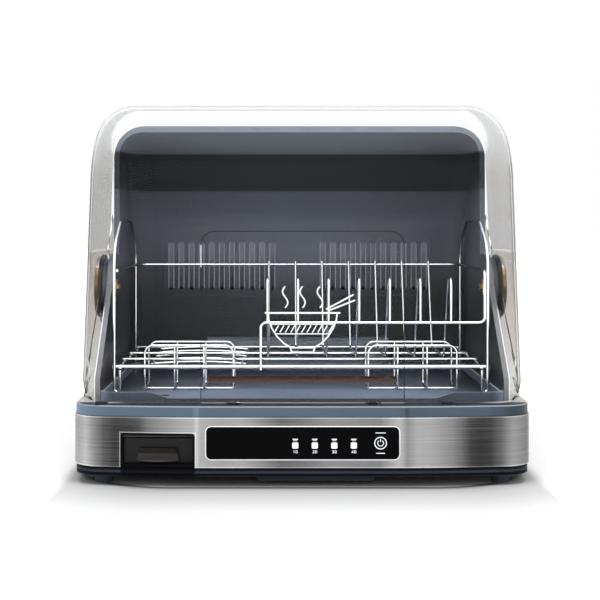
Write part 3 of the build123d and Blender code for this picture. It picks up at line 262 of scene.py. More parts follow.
def spread(tree, value, low, high, to_low=0.0, to_high=1.0, smooth=False):
    """Value mapped from one range to another, clamped."""
    item = add(tree, "ShaderNodeMapRange", {"Value": value, "From Min": low, "From Max": high,
                                            "To Min": to_low, "To Max": to_high},
               interpolation_type="SMOOTHSTEP" if smooth else "LINEAR")
    return item.outputs[0]


def tones(tree, value, low, high, stops):
    """Grey ramp over a value between low and high; stops are pairs of share and tone."""
    ramp = add(tree, "ShaderNodeValToRGB", {0: spread(tree, value, low, high)})
    while len(ramp.color_ramp.elements) < len(stops):
        ramp.color_ramp.elements.new(0.5)
    for element, (spot, tone) in zip(ramp.color_ramp.elements, stops):
        element.position = spot
        element.color = (tone, tone, tone, 1.0)
    return ramp.outputs[0]


def axes(tree, socket="Object"):
    """X, Y and Z of the object's coordinates or of its normal."""
    return add(tree, "ShaderNodeSeparateXYZ", {0: add(tree, "ShaderNodeTexCoord").outputs[socket]}).outputs


def around(tree, value, middle, half, soft):
    """1 within half of the middle, fading out over soft."""
    off = math_node(tree, "ABSOLUTE", math_node(tree, "SUBTRACT", value, middle))
    return spread(tree, off, half, half + soft, 1.0, 0.0)


def product(tree, *values):
    """Product of values."""
    result = values[0]
    for value in values[1:]:
        result = math_node(tree, "MULTIPLY", result, value)
    return result


def beyond(tree, value, low, high):
    """Distance out of a span, negative inside it."""
    off = math_node(tree, "ABSOLUTE", math_node(tree, "SUBTRACT", value, (low + high) / 2))
    return math_node(tree, "SUBTRACT", off, (high - low) / 2)


def outside(tree, first, second, box):
    """Distance out of a rectangle over two axes, negative inside it; box is low and high of each."""
    return math_node(tree, "MAXIMUM", beyond(tree, first, *box[0]), beyond(tree, second, *box[1]))


def seen_ray(tree):
    """1 for what the camera sees, straight, through glass or in a gloss."""
    path = add(tree, "ShaderNodeLightPath")
    seen = math_node(tree, "MAXIMUM", path.outputs["Is Camera Ray"], path.outputs["Is Transmission Ray"])
    return math_node(tree, "MAXIMUM", seen, path.outputs["Is Glossy Ray"])


def shaded(tree, level, colour_at_full):
    """Colour scaled by a level from black."""
    return mix_colour(tree, level, BLACK, opaque(colour_at_full))


def opaque(rgb):
    """Colour with full alpha."""
    return (*rgb, 1.0)


def moulded_group():
    """Moulded plastic: faint mottle in the colour, uneven polish and a fine grain."""
    tree, source = effect_group("Moulded grain", {"Colour": (0.5, 0.5, 0.5, 1.0), "Roughness": 0.5,
                                                  "Grain per metre": 1400.0, "Mottle": 0.06})
    place = add(tree, "ShaderNodeTexCoord").outputs["Object"]
    cloud = add(tree, "ShaderNodeTexNoise", {"Vector": place, "Scale": 22.0, "Detail": 3.0}).outputs[0]
    fine = add(tree, "ShaderNodeTexNoise", {"Vector": place, "Scale": source.outputs["Grain per metre"],
                                            "Detail": 2.0}).outputs[0]
    share = product(tree, math_node(tree, "SUBTRACT", cloud, 0.5), source.outputs["Mottle"])
    gain = math_node(tree, "ADD", product(tree, share, 4.0), 1.0)
    scaled = add(tree, "ShaderNodeVectorMath", {0: source.outputs["Colour"]}, operation="SCALE")
    tree.links.new(gain, scaled.inputs["Scale"])
    put_out(tree, scaled.outputs[0], source.outputs["Roughness"], product(tree, share, 2.0), fine)
    return tree


def brushed_group():
    """Brushed sheet: long level scratches in tone, polish and height, over a broad tone along X given as
    Shade, which carries painted reflection and shade.
    """
    tree, source = effect_group("Brushed sheet", {"Light": (0.6, 0.6, 0.6, 1.0), "Dark": (0.1, 0.1, 0.1, 1.0),
                                                  "Shade": 0.0, "Lines per metre": 900.0, "Contrast": 0.25,
                                                  "Roughness": 0.3})
    place = add(tree, "ShaderNodeTexCoord").outputs["Object"]
    flat = add(tree, "ShaderNodeVectorMath", {0: place, 1: (0.012, 0.012, 1.0)}, operation="MULTIPLY")
    streak = add(tree, "ShaderNodeTexNoise",
                 {"Vector": flat.outputs[0], "Scale": source.outputs["Lines per metre"],
                  "Detail": 4.0, "Roughness": 0.65}).outputs[0]
    centred = math_node(tree, "SUBTRACT", streak, 0.5)
    shade = math_node(tree, "ADD", source.outputs["Shade"],
                      product(tree, centred, source.outputs["Contrast"]), True)
    put_out(tree, mix_colour(tree, shade, source.outputs["Light"], source.outputs["Dark"]),
            source.outputs["Roughness"], product(tree, centred, 0.3), streak)
    return tree


def shared_group(name):
    """Shared effect, built on its first use."""
    makers = {"Moulded grain": moulded_group, "Brushed sheet": brushed_group}
    return bpy.data.node_groups.get(name) or makers[name]()


def finish_of(name, base, roughness, metallic=0.0, **sockets):
    """New material with a Principled shader; gives the material and the shader node."""
    material = bpy.data.materials.new(name)
    material.use_nodes = True
    shader = material.node_tree.nodes["Principled BSDF"]
    sockets |= {"Base Color": opaque(base), "Roughness": roughness, "Metallic": metallic}
    for key, value in sockets.items():
        shader.inputs[key.replace("_", " ")].default_value = value
    material.diffuse_color = opaque(base)
    return material, shader


def raise_surface(tree, shader, height, depth):
    """Bump from a height."""
    bump = add(tree, "ShaderNodeBump", {"Height": height, "Strength": 1.0, "Distance": depth})
    tree.links.new(bump.outputs[0], shader.inputs["Normal"])


def textured(name, base, roughness, effect, values, toned, maker, depth, metallic=0.0, **sockets):
    """Material whose colour, polish and height come from an effect; a maker may feed its toned socket."""
    material, shader = finish_of(name, base, roughness, metallic, **sockets)
    tree = material.node_tree
    source = add(tree, "ShaderNodeGroup", {"Roughness": roughness, **values}, node_tree=shared_group(effect))
    if maker:
        tree.links.new(maker(tree), source.inputs[toned])
    tree.links.new(source.outputs["Colour"], shader.inputs["Base Color"])
    tree.links.new(source.outputs["Roughness"], shader.inputs["Roughness"])
    raise_surface(tree, shader, source.outputs["Height"], depth)
    return material


def moulded(name, base, roughness=0.45, mottle=0.05, depth=0.00002, tone=None, gloss=0.25):
    """Moulded plastic or rubber material; tone is a maker that gives its colour as a socket, with any painted
    light and shade.
    """
    values = {"Colour": opaque(base), "Grain per metre": settings()[1].grain, "Mottle": mottle}
    return textured(name, base, roughness, "Moulded grain", values, "Colour", tone, depth,
                    Specular_IOR_Level=gloss)


def brushed(name, light, dark, shade=None, contrast=0.25, roughness=0.3, depth=0.00003):
    """Brushed metal; shade is a maker that gives its broad tone of painted reflection and shade as a socket.
    """
    values = {"Light": opaque(light), "Dark": opaque(dark), "Lines per metre": settings()[1].brush,
              "Contrast": contrast}
    return textured(name, light, roughness, "Brushed sheet", values, "Shade", shade, depth, 1.0)


def dress(material, *nodes):
    """Gives CAD nodes a material."""
    for name in nodes:
        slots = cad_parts[name].data.materials
        slots.clear()
        slots.append(material)


# Mesh helpers

def shown(name, mesh, material):
    """New object of one material from a bmesh."""
    data = bpy.data.meshes.new(name)
    mesh.to_mesh(data)
    mesh.free()
    data.materials.append(material)
    item = bpy.data.objects.new(name, data)
    bpy.context.scene.collection.objects.link(item)
    return item


def piece(name, mesh, material, body):
    """New object from a bmesh, which rides on a body."""
    item = shown(name, mesh, material)
    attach(item, body)
    return item


def solid(name, mesh, material, body):
    """Piece whose faces are turned outward."""
    bmesh.ops.recalc_face_normals(mesh, faces=mesh.faces[:])
    return piece(name, mesh, material, body)


def stroke(mesh, points, width, face, rise, plan=False):
    """Flat mitred line through points of X and Z, which rises from a face at Y; in plan, X and Y, and Z."""
    points = [Vector(point) for point in points]
    rows = []
    for index, point in enumerate(points):
        before = points[max(index - 1, 0)]
        after = points[min(index + 1, len(points) - 1)]
        incoming = (point - before).normalized() if index else (after - point).normalized()
        outgoing = (after - point).normalized() if index < len(points) - 1 else incoming
        along = (incoming + outgoing).normalized() if (incoming + outgoing).length > 0 else incoming
        side = Vector((-along.y, along.x))
        reach = width / 2 / max(abs(side.dot(Vector((-incoming.y, incoming.x)))), 0.5)
        left, right = point + side * reach, point - side * reach
        rows.append([mesh.verts.new((spot.x, spot.y, level) if plan else (spot.x, level, spot.y))
                     for level in (face - rise, face) for spot in (left, right)])
    for first, second in zip(rows, rows[1:]):
        for a, b in ((0, 1), (1, 3), (3, 2), (2, 0)):
            mesh.faces.new((first[a], first[b], second[b], second[a]))
    mesh.faces.new((rows[0][0], rows[0][2], rows[0][3], rows[0][1]))
    mesh.faces.new((rows[-1][0], rows[-1][1], rows[-1][3], rows[-1][2]))


def arc(centre, radius, start, end, steps):
    """Points along an arc in X and Z, angles in degrees."""
    turns = [math.radians(start + (end - start) * step / steps) for step in range(steps + 1)]
    return [(centre[0] + radius * math.cos(turn), centre[1] + radius * math.sin(turn)) for turn in turns]


def rounded(node, material, body):
    """Copy of a CAD node whose wires are shaded round, which stands for it."""
    mesh = bmesh.new()
    mesh.from_mesh(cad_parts[node].data)
    bmesh.ops.remove_doubles(mesh, verts=mesh.verts[:], dist=0.000005)
    for face in mesh.faces:
        face.smooth = True
    for edge in mesh.edges:
        edge.smooth = len(edge.link_faces) == 2 and edge.calc_face_angle(3.2) < math.radians(50)
    item = piece(node + "_round", mesh, material, body)
    attributes = item.data.attributes
    if "custom_normal" in attributes:
        attributes.remove(attributes["custom_normal"])
    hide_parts(node)


# Operators

class DRYER_OT_stage(bpy.types.Operator):
    """Camera, lamps, floor and world"""
    bl_idname = "dryer.stage"
    bl_label = "Studio"

    def execute(self, context):
        studio = settings()[2]
        scene = context.scene
        scene.view_settings.view_transform = "Standard"
        front = cad_box[0][1]
        camera = bpy.data.objects.new("camera", bpy.data.cameras.new("camera"))
        scene.collection.objects.link(camera)
        camera.location = (studio.camera_x, front - studio.camera_ahead, studio.camera_z)
        camera.rotation_euler = (math.radians(90), 0, 0)
        camera.data.lens = studio.focal_pixels / IMAGE_SIDE * camera.data.sensor_width
        camera.data.shift_x = (IMAGE_SIDE / 2 - studio.aim_x) / IMAGE_SIDE
        camera.data.shift_y = (studio.aim_y - IMAGE_SIDE / 2) / IMAGE_SIDE
        scene.camera = camera
        lamps = (("key_lamp", studio.key, (0.0, -0.55, 1.35), 0.15, 1.3, 0.8),
                 ("front_lamp", studio.front, (0.0, -1.9, 0.75), 0.18, 1.6, 1.0),
                 ("left_lamp", studio.side, (-1.5, -0.5, 0.7), 0.15, 0.6, 1.2),
                 ("right_lamp", studio.side, (1.5, -0.5, 0.7), 0.15, 0.6, 1.2))
        for name, power, place, target_z, width, height in lamps:
            lamp = bpy.data.lights.new(name, "AREA")
            lamp.shape = "RECTANGLE"
            lamp.size = width
            lamp.size_y = height
            lamp.energy = power
            item = bpy.data.objects.new(name, lamp)
            scene.collection.objects.link(item)
            item.location = place
            aim = Vector((0.0, 0.0, target_z)) - Vector(place)
            item.rotation_euler = aim.to_track_quat("-Z", "Y").to_euler()
        self.make_world(scene, studio)
        self.make_floor()
        return {"FINISHED"}

    def make_world(self, scene, studio):
        """Soft light all round, seen as white by the camera, in metal and through glass."""
        world = bpy.data.worlds.new("studio")
        scene.world = world
        world.use_nodes = True
        tree = world.node_tree
        tree.nodes.clear()
        seen = seen_ray(tree)
        strength = spread(tree, seen, 0.0, 1.0, studio.ambient, 1.0)
        light = add(tree, "ShaderNodeBackground", {"Color": WHITE, "Strength": strength})
        out = add(tree, "ShaderNodeOutputWorld")
        tree.links.new(light.outputs[0], out.inputs["Surface"])

    def make_floor(self):
        """Pale floor that fades to white round the object and keeps its cast shadow, with a painted shadow
        that darkens it near and under the object.
        """
        mesh = bmesh.new()
        bmesh.ops.create_grid(mesh, x_segments=8, y_segments=8, size=12.0)
        material, shader = finish_of("Pale floor", FLOOR, 0.6, Specular_IOR_Level=0.2)
        tree = material.node_tree
        seen = seen_ray(tree)
        x, y = axes(tree)[:2]
        squares = []
        for value, low, high in zip((x, y), *cad_box):
            gap = math_node(tree, "MAXIMUM", beyond(tree, value, low + FLOOR_CORNER, high - FLOOR_CORNER), 0.0)
            squares.append(product(tree, gap, gap))
        away = math_node(tree, "SQRT", math_node(tree, "ADD", *squares))
        away = math_node(tree, "SUBTRACT", away, FLOOR_CORNER)
        # Painted shadow: the floor's colour darkens near and under the object.
        shade = tones(tree, away, -0.012, 0.06,
                      ((0.0, 0.8), (0.083, 0.7), (0.125, 0.3), (0.16, 0.12), (0.195, 0.12), (0.24, 0.45),
                       (0.28, 0.64), (0.333, 0.76), (0.667, 0.93), (1.0, 1.0)))
        tree.links.new(shaded(tree, shade, FLOOR), shader.inputs["Base Color"])
        # Glow for the camera whitens the floor away from the object and leaves the painted shadow near it.
        beside = spread(tree, math_node(tree, "ABSOLUTE", x), 0.229, 0.247, 0.0, 0.45, True)
        ahead = math_node(tree, "ADD", spread(tree, away, 0.045, 0.115, 0.0, 0.2, True),
                          spread(tree, away, 0.12, 0.5, 0.0, 0.8))
        glow = product(tree, seen, math_node(tree, "MAXIMUM", beside, ahead))
        shader.inputs["Emission Color"].default_value = WHITE
        tree.links.new(glow, shader.inputs["Emission Strength"])
        shown("floor", mesh, material)


class DRYER_OT_base(bpy.types.Operator):
    """Steel band, rim, pan, feet and inner shell"""
    bl_idname = "dryer.base"
    bl_label = "Base"

    def execute(self, context):
        colours = settings()[0]
        dress(brushed("Brushed steel band", colours.steel, colours.steel_dark, band_shade), "steel_band")
        dress(moulded("Blue-grey rim", colours.rim, 0.38, tone=rim_tone), "rim_frame")
        dress(moulded("Navy pan", colours.pan, 0.55, tone=pan_tone, gloss=0.05), "bottom_pan")
        dress(moulded("Black rubber", colours.rubber, 0.7, 0.1, 0.00004), "rim_bumpers", "cord_inlet")
        dress(moulded("Navy rubber", colours.feet, 0.7, 0.1, 0.00004), "rubber_feet")
        dress(moulded("Inner shell", (0.09, 0.1, 0.13), 0.6), "base_shell")
        dress(brushed("Turned screws", (0.5, 0.5, 0.52), (0.2, 0.2, 0.21)), "foot_screws")
        return {"FINISHED"}


def band_shade(tree):
    """Painted reflection and shade of the band along X, darker to its top, and painted highlights on its
    edges' roll and round its drawer cut.
    """
    x, y, z = axes(tree)
    low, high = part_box("steel_band")
    # Painted reflection along X, with painted step lines at the raised middle.
    level = tones(tree, x, -BAND_HALF, BAND_HALF,
                  ((0.0, 0.4), (0.03, 0.7), (0.05, 0.36), (0.071, 0.118), (0.095, 0.03), (0.12, 0.035),
                   (0.148, 0.07), (0.172, 0.27), (0.237, 0.54), (0.266, 0.62), (0.2725, 0.9), (0.28, 0.6),
                   (0.324, 0.52), (0.37, 0.56), (0.452, 0.19), (0.494, 0.24), (0.56, 0.39), (0.665, 0.32),
                   (0.708, 0.72), (0.724, 0.38), (0.745, 0.6), (0.773, 0.57), (0.817, 0.37), (0.86, 0.04),
                   (0.883, 0.008), (0.905, 0.03), (0.928, 0.15), (0.952, 0.43), (0.977, 0.33), (1.0, 0.1)))
    # Painted shade: darker towards the top.
    level = product(tree, level, spread(tree, z, low.z, high.z, 1.0, 0.72))
    cut_low, cut_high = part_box("drawer_sleeve")
    # Painted highlight round the drawer cut, on the front only.
    past = outside(tree, x, z, ((cut_low.x, cut_high.x), (0.0, cut_high.z)))
    line = product(tree, around(tree, past, 0.0009, 0.0003, 0.0003), spread(tree, y, 0.0, 0.001, 1.0, 0.0))
    # Painted highlight on the roll of the top and bottom edges.
    edge_highlight = math_node(tree, "MAXIMUM", spread(tree, z, high.z - 0.0013, high.z - 0.0008),
                       spread(tree, z, low.z + 0.0008, low.z + 0.0014, 1.0, 0.0))
    painted_highlights = math_node(tree, "ADD", product(tree, line, 0.45),
                      product(tree, edge_highlight, math_node(tree, "ADD", product(tree, level, 0.6), 0.16)))
    return math_node(tree, "SUBTRACT", 1.0, math_node(tree, "ADD", level, painted_highlights), True)


def rim_tone(tree):
    """Tone of the rim: painted light from the left, painted highlights along its bevel and near the sides on
    top, and painted shadow on top at the front.
    """
    colours = settings()[0]
    x, y, z = axes(tree)
    up = axes(tree, "Normal")[2]
    low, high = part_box("rim_frame")
    # Painted light from the left, with painted highlight and shade at the steps of the raised middle.
    level = tones(tree, x, -BAND_HALF, BAND_HALF,
                  ((0.0, 0.98), (0.022, 0.93), (0.055, 0.68), (0.087, 0.585), (0.262, 0.57), (0.2725, 0.93),
                   (0.281, 0.53), (0.5, 0.51), (0.706, 0.46), (0.718, 0.4), (0.724, 0.16), (0.731, 0.38),
                   (0.8, 0.42), (0.9, 0.4), (0.93, 0.28), (0.955, 0.17), (1.0, 0.12)))
    # Painted shade along the foot of its face.
    level = product(tree, level, spread(tree, z, high.z - 0.011, high.z - 0.0102, 0.7, 1.0))
    top = spread(tree, up, 0.5, 0.6)
    # Painted shadow on top at the front, where the lid's edge stands over it.
    gap_shadow = product(tree, top, spread(tree, y, low.y + 0.024, low.y + 0.026, 1.0, 0.0),
                     spread(tree, z, high.z - 0.0009, high.z - 0.0007))
    face = shaded(tree, level, colours.rim)
    # Painted highlight strips on top near the sides.
    top_side_highlight = product(tree, top, spread(tree, math_node(tree, "ABSOLUTE", x), 0.208, 0.212))
    face = mix_colour(tree, top_side_highlight, face, (0.6, 0.58, 0.55, 1.0))
    face = mix_colour(tree, gap_shadow, face, (0.018, 0.02, 0.025, 1.0))
    # Painted highlight along the bevel.
    return mix_colour(tree, around(tree, z, high.z - 0.0014, 0.0005, 0.0003), face, (0.31, 0.36, 0.42, 1.0))


def pan_tone(tree):
    """Tone of the pan: a navy line between bands of painted shade, painted light low down, and painted shade,
    near black, under the drawer.
    """
    x, y, z = axes(tree)
    low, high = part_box("bottom_pan")
    # Painted shade in dark bands round the navy line, and painted light low down.
    level = tones(tree, z, low.z, high.z,
                  ((0.0, 1.0), (0.3, 0.9), (0.45, 0.06), (0.56, 0.06), (0.62, 1.0), (0.74, 1.0),
                   (0.8, 0.2), (1.0, 0.2)))
    cut_low, cut_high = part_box("drawer_sleeve")
    # Painted shade, near black, under the drawer's opening.
    clear = spread(tree, outside(tree, x, y, ((cut_low.x, cut_high.x), (-1.0, 0.0))), 0.0, 0.0006, 0.2, 1.0)
    return shaded(tree, product(tree, level, clear), settings()[0].pan)


class DRYER_OT_window(bpy.types.Operator):
    """Control window with its lit keys and marks"""
    bl_idname = "dryer.window"
    bl_label = "Control window"

    def execute(self, context):
        colours = settings()[0]
        dress(moulded("Black window", colours.window, 0.2, 0.02, 0.000002, gloss=0.03), "panel_glass")
        dress(finish_of("Bright bezel", (0.75, 0.76, 0.78), 0.15, 1.0)[0], "panel_bezel")
        lit = finish_of("Lit marks", colours.marks, 0.5, Emission_Color=opaque(colours.marks),
                        Emission_Strength=0.35)[0]
        dress(lit, "indicator_lenses")
        dress(moulded("Black key", (0.006, 0.006, 0.007), 0.2, 0.02, 0.000002, gloss=0.08), "power_button")
        self.key_mark(lit)
        self.window_marks(lit)
        return {"FINISHED"}

    def window_marks(self, lit):
        """Plain numbers under the lit squares and short bars over them."""
        sizes = settings()[1]
        low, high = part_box("indicator_lenses")
        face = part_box("panel_glass")[0].y
        mesh = bmesh.new()

        def draw(points, width):
            stroke(mesh, points, width, face, sizes.ink)

        squares = 4
        side = high.z - low.z
        step = (high.x - low.x - side) / (squares - 1)
        for index in range(squares):
            x = low.x + side / 2 + index * step
            draw([(x - 2.6 * MM, high.z + 3.1 * MM), (x + 2.6 * MM, high.z + 3.1 * MM)], 1.0 * MM)
            draw([(x - 1.9 * MM, high.z + 1.7 * MM), (x + 1.9 * MM, high.z + 1.7 * MM)], 0.5 * MM)
            for place, digit in ((-1.25, DIGITS[index + 1]), (1.25, DIGITS[0])):
                draw([(x + (place + a) * MM, low.z - (4.3 - b) * MM) for a, b in digit], 0.5 * MM)
        key_low, key_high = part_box("power_button")
        x = (key_low.x + key_high.x) / 2
        for z, half in ((key_high.z + 1.9 * MM, 5.0 * MM), (key_low.z - 1.9 * MM, 4.2 * MM)):
            draw([(x - half, z), (x + half, z)], 0.8 * MM)
        solid("window_marks", mesh, lit, "base")

    def key_mark(self, lit):
        """Ring and bar of a plain power symbol on the key."""
        sizes = settings()[1]
        low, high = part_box("power_button")
        middle = (low + high) / 2
        mesh = bmesh.new()
        outer = high.z - middle.z - 1.2 * MM
        ring = arc((middle.x, middle.z), outer - 1.1 * MM, 0, 360, 48)
        open_ring = arc((middle.x, middle.z), outer * 0.42, 125, 415, 48)
        bar = [(middle.x, middle.z + outer * 0.18), (middle.x, middle.z + outer * 0.6)]
        for points, width in ((ring, 0.9 * MM), (open_ring, 0.7 * MM), (bar, 0.7 * MM)):
            stroke(mesh, points, width, low.y, sizes.ink)
        solid("power_mark", mesh, lit, "key")


class DRYER_OT_drawer(bpy.types.Operator):
    """Water drawer and its recess"""
    bl_idname = "dryer.drawer"
    bl_label = "Water drawer"

    def execute(self, context):
        colours = settings()[0]
        recess = moulded("Drawer recess", colours.sleeve, 0.5, tone=self.sleeve_tone, gloss=0.05)
        pull = moulded("Drawer pull", colours.drawer_pull, 0.4, tone=self.pull_tone, gloss=0.15)
        dress(recess, "drawer_sleeve")
        dress(moulded("Drawer front", colours.drawer, 0.45), "drip_drawer")
        dress(pull, "drawer_pull")
        return {"FINISHED"}

    def sleeve_tone(self, tree):
        """Recess near black as painted shade, whose guide bar is grey."""
        x, y, z = axes(tree)
        low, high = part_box("drawer_sleeve")
        bar = product(tree, around(tree, y, low.y + 0.011, 0.0025, 0.0005),
                      spread(tree, z, high.z - 0.0052, high.z - 0.0047),
                      around(tree, x, (low.x + high.x) / 2, (high.x - low.x) / 2 - 0.0021, 0.0003))
        # The recess's near black colour is painted shade; the guide bar stays grey.
        return mix_colour(tree, bar, opaque(settings()[0].sleeve), (0.1, 0.1, 0.105, 1.0))

    def pull_tone(self, tree):
        """Pull that is lighter along its lower lip as a painted highlight, and darker above."""
        z = axes(tree)[2]
        low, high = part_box("drawer_pull")
        # Painted highlight along the lower lip, darker above.
        level = tones(tree, z, low.z, high.z,
                      ((0.0, 1.0), (0.14, 1.0), (0.2, 0.3), (0.5, 0.4), (0.62, 0.45), (0.68, 0.06),
                       (1.0, 0.06)))
        return mix_colour(tree, level, (0.003, 0.003, 0.003, 1.0), opaque(settings()[0].drawer_pull))


class DRYER_OT_chamber(bpy.types.Operator):
    """Drip tray, air outlet and lamp"""
    bl_idname = "dryer.chamber"
    bl_label = "Chamber"

    def execute(self, context):
        colours = settings()[0]
        dress(moulded("Blue-grey tray", colours.tray, 0.4, tone=tray_tone, gloss=0.1), "drip_tray")
        dress(moulded("Outlet cover", colours.outlet, 0.4), "air_outlet")
        dress(finish_of("Lamp glass", (0.8, 0.85, 0.95), 0.1, Transmission_Weight=0.6)[0], "uv_lamp")
        dress(moulded("Lamp sockets", (0.6, 0.6, 0.58), 0.5), "lamp_sockets")
        return {"FINISHED"}


def tray_tone(tree):
    """Tone of the tray: painted shade darkens its floor towards the back and the sides and its upright faces
    away from the sides, and a painted highlight runs along the top of its lip.
    """
    colours = settings()[0]
    x, y, z = axes(tree)
    up = axes(tree, "Normal")[2]
    low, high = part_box("drip_tray")
    # Painted shade: the floor darkens towards the back and the sides.
    deep = tones(tree, y, low.y, low.y + 0.26,
                 ((0.0, 0.6), (0.17, 0.68), (0.25, 0.85), (0.36, 0.9), (0.41, 0.46), (0.5, 0.42),
                  (0.7, 0.27), (1.0, 0.1)))
    wide = tones(tree, x, low.x, high.x,
                 ((0.0, 0.12), (0.025, 0.25), (0.075, 0.5), (0.155, 1.0), (0.84, 1.0), (0.895, 0.75),
                  (0.97, 0.2), (1.0, 0.12)))
    inner = spread(tree, up, 0.4, 0.8)
    # Painted shade on the upright faces, lighter near the sides.
    wall = spread(tree, math_node(tree, "ABSOLUTE", x), 0.19, 0.198, 0.3, 0.8)
    level = math_node(tree, "ADD", product(tree, deep, wide, inner),
                      product(tree, math_node(tree, "SUBTRACT", 1.0, inner), wall))
    # Painted highlight along the top of the lip.
    lip = product(tree, inner, spread(tree, z, low.z + 0.0045, low.z + 0.0055))
    tone = mix_colour(tree, level, (0.002, 0.0025, 0.004, 1.0), opaque(colours.tray))
    return mix_colour(tree, lip, tone, (0.27, 0.3, 0.36, 1.0))


class DRYER_OT_hood(bpy.types.Operator):
    """Rear housing, vents and pivots"""
    bl_idname = "dryer.hood"
    bl_label = "Rear housing"

    def execute(self, context):
        colours = settings()[0]
        for name, node in (("Dark hood", "rear_housing"), ("Vent plates", "vent_grilles")):
            dress(moulded(name, colours.hood, 0.42, 0.03, tone=hood_tone, gloss=0.12), node)
        dress(moulded("Filter foam", colours.foam, 0.9, 0.3, 0.3 * MM, foam_tone, 0.05), "vent_filters")
        self.paint_slot_highlights(moulded("Slot edges", colours.slot_highlight, 0.35))
        dress(brushed("Turned brass", colours.brass, (0.2, 0.11, 0.03), contrast=0.3, roughness=0.28),
              "brass_nuts")
        dress(self.cap_brass(colours.brass), "brass_caps")
        dress(brushed("Plain steel", (0.55, 0.55, 0.57), (0.25, 0.25, 0.26)), "pivot_pins", "pivot_washers")
        dress(moulded("Black discs", (0.01, 0.01, 0.011), 0.25, 0.03), "pivot_discs")
        return {"FINISHED"}

    def cap_brass(self, brass):
        """Brass of the caps, with a painted glint near their top."""
        material = brushed("Lit brass", brass, (0.05, 0.04, 0.03), self.cap_shade, 0.15, 0.28)
        tree = material.node_tree
        base = tree.nodes["Principled BSDF"].inputs["Base Color"]
        # Painted glint near the top of the caps.
        glint = spread(tree, axes(tree)[2], *self.cap_split(0.8, 0.84))
        tree.links.new(mix_colour(tree, glint, base.links[0].from_socket, (0.9, 0.89, 0.85, 1.0)), base)
        return material

    def cap_split(self, first, second):
        """Heights at two shares of the caps' height."""
        low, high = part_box("brass_caps")
        return [low.z + share * (high.z - low.z) for share in (first, second)]

    def cap_shade(self, tree):
        """Painted shade over the caps' lower half."""
        return spread(tree, axes(tree)[2], *self.cap_split(0.5, 0.54), 0.85, 0.1)

    def paint_slot_highlights(self, material):
        """Thin raised strip of painted highlight along both sides of each slot of the vents."""
        low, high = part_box("vent_grilles")
        middle_z = (low.z + high.z) / 2
        mesh = bmesh.new()
        slots = [side * VENT_MIDDLE + (index - (VENT_SLOTS - 1) / 2) * VENT_PITCH
                 for side in (-1, 1) for index in range(VENT_SLOTS)]
        for x in [slot + edge for slot in slots for edge in (-SLOT_EDGE, SLOT_EDGE)]:
            stroke(mesh, [(x, middle_z - SLOT_HALF), (x, middle_z + SLOT_HALF)], 1.0 * MM, low.y, SLOT_RISE)
        solid("slot_highlights", mesh, material, "base")


def hood_tone(tree):
    """Tone of the housing: even outside; inside, painted light and shade on each facet, darker towards the
    sides; painted light on the front edge strip and a painted highlight line down each cheek.
    """
    colours = settings()[0]
    x, y, z = axes(tree)
    turned = axes(tree, "Normal")[1]
    inside = spread(tree, turned, 0.02, 0.06, 1.0, 0.0)
    # Painted light and shade on the inside facets, by height.
    level = tones(tree, z, *HOOD_SPAN,
                  ((0.0, 0.08), (0.15, 0.09), (0.33, 0.16), (0.48, 0.75), (0.6, 0.66), (0.735, 0.45),
                   (0.74, 0.07), (0.868, 0.07), (0.872, 0.9), (1.0, 1.3)))
    wide = math_node(tree, "ABSOLUTE", x)
    # Painted shade towards the sides, stronger low down.
    lower = product(tree, level, spread(tree, wide, 0.05, 0.18, 1.0, 0.4))
    upper = product(tree, level, spread(tree, wide, 0.02, 0.18, 1.0, 0.85, True))
    level = mix_colour(tree, spread(tree, z, 0.18, 0.26), lower, upper)
    edge = product(tree, spread(tree, turned, -0.7, -0.5, 1.0, 0.0), spread(tree, y, -0.04, -0.025, 1.0, 0.0))
    share = mix_colour(tree, inside, opaque((0.3, 0.3, 0.3)), level)
    tone = mix_colour(tree, share, opaque(colours.hood_dark), opaque(colours.hood))
    # Painted light on the front edge strip, by height.
    lit = tones(tree, z, *HOOD_SPAN,
                ((0.0, 0.15), (0.1, 0.28), (0.3, 0.33), (0.36, 0.22), (0.63, 0.24), (0.79, 0.13),
                 (0.8, 0.85), (1.0, 1.0)))
    # Painted highlight line down the outer side of each cheek.
    line = product(tree, around(tree, wide, 0.2079, 0.0007, 0.0003), spread(tree, z, 0.165, 0.17, 0.9, 0.0))
    strip = mix_colour(tree, line, shaded(tree, lit, colours.hood_edge), (0.85, 0.85, 0.85, 1.0))
    return mix_colour(tree, edge, tone, strip)


def foam_tone(tree):
    """Foam in painted shade: lighter near the top of the slots and dark at their ends."""
    z = axes(tree)[2]
    low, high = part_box("vent_grilles")
    # Painted shade in the slots, by height.
    level = tones(tree, z, low.z, high.z,
                  ((0.0, 0.03), (0.12, 0.05), (0.17, 0.35), (0.45, 0.45), (0.6, 0.85), (0.85, 1.0),
                   (0.92, 1.0), (1.0, 0.2)))
    return shaded(tree, level, settings()[0].foam)


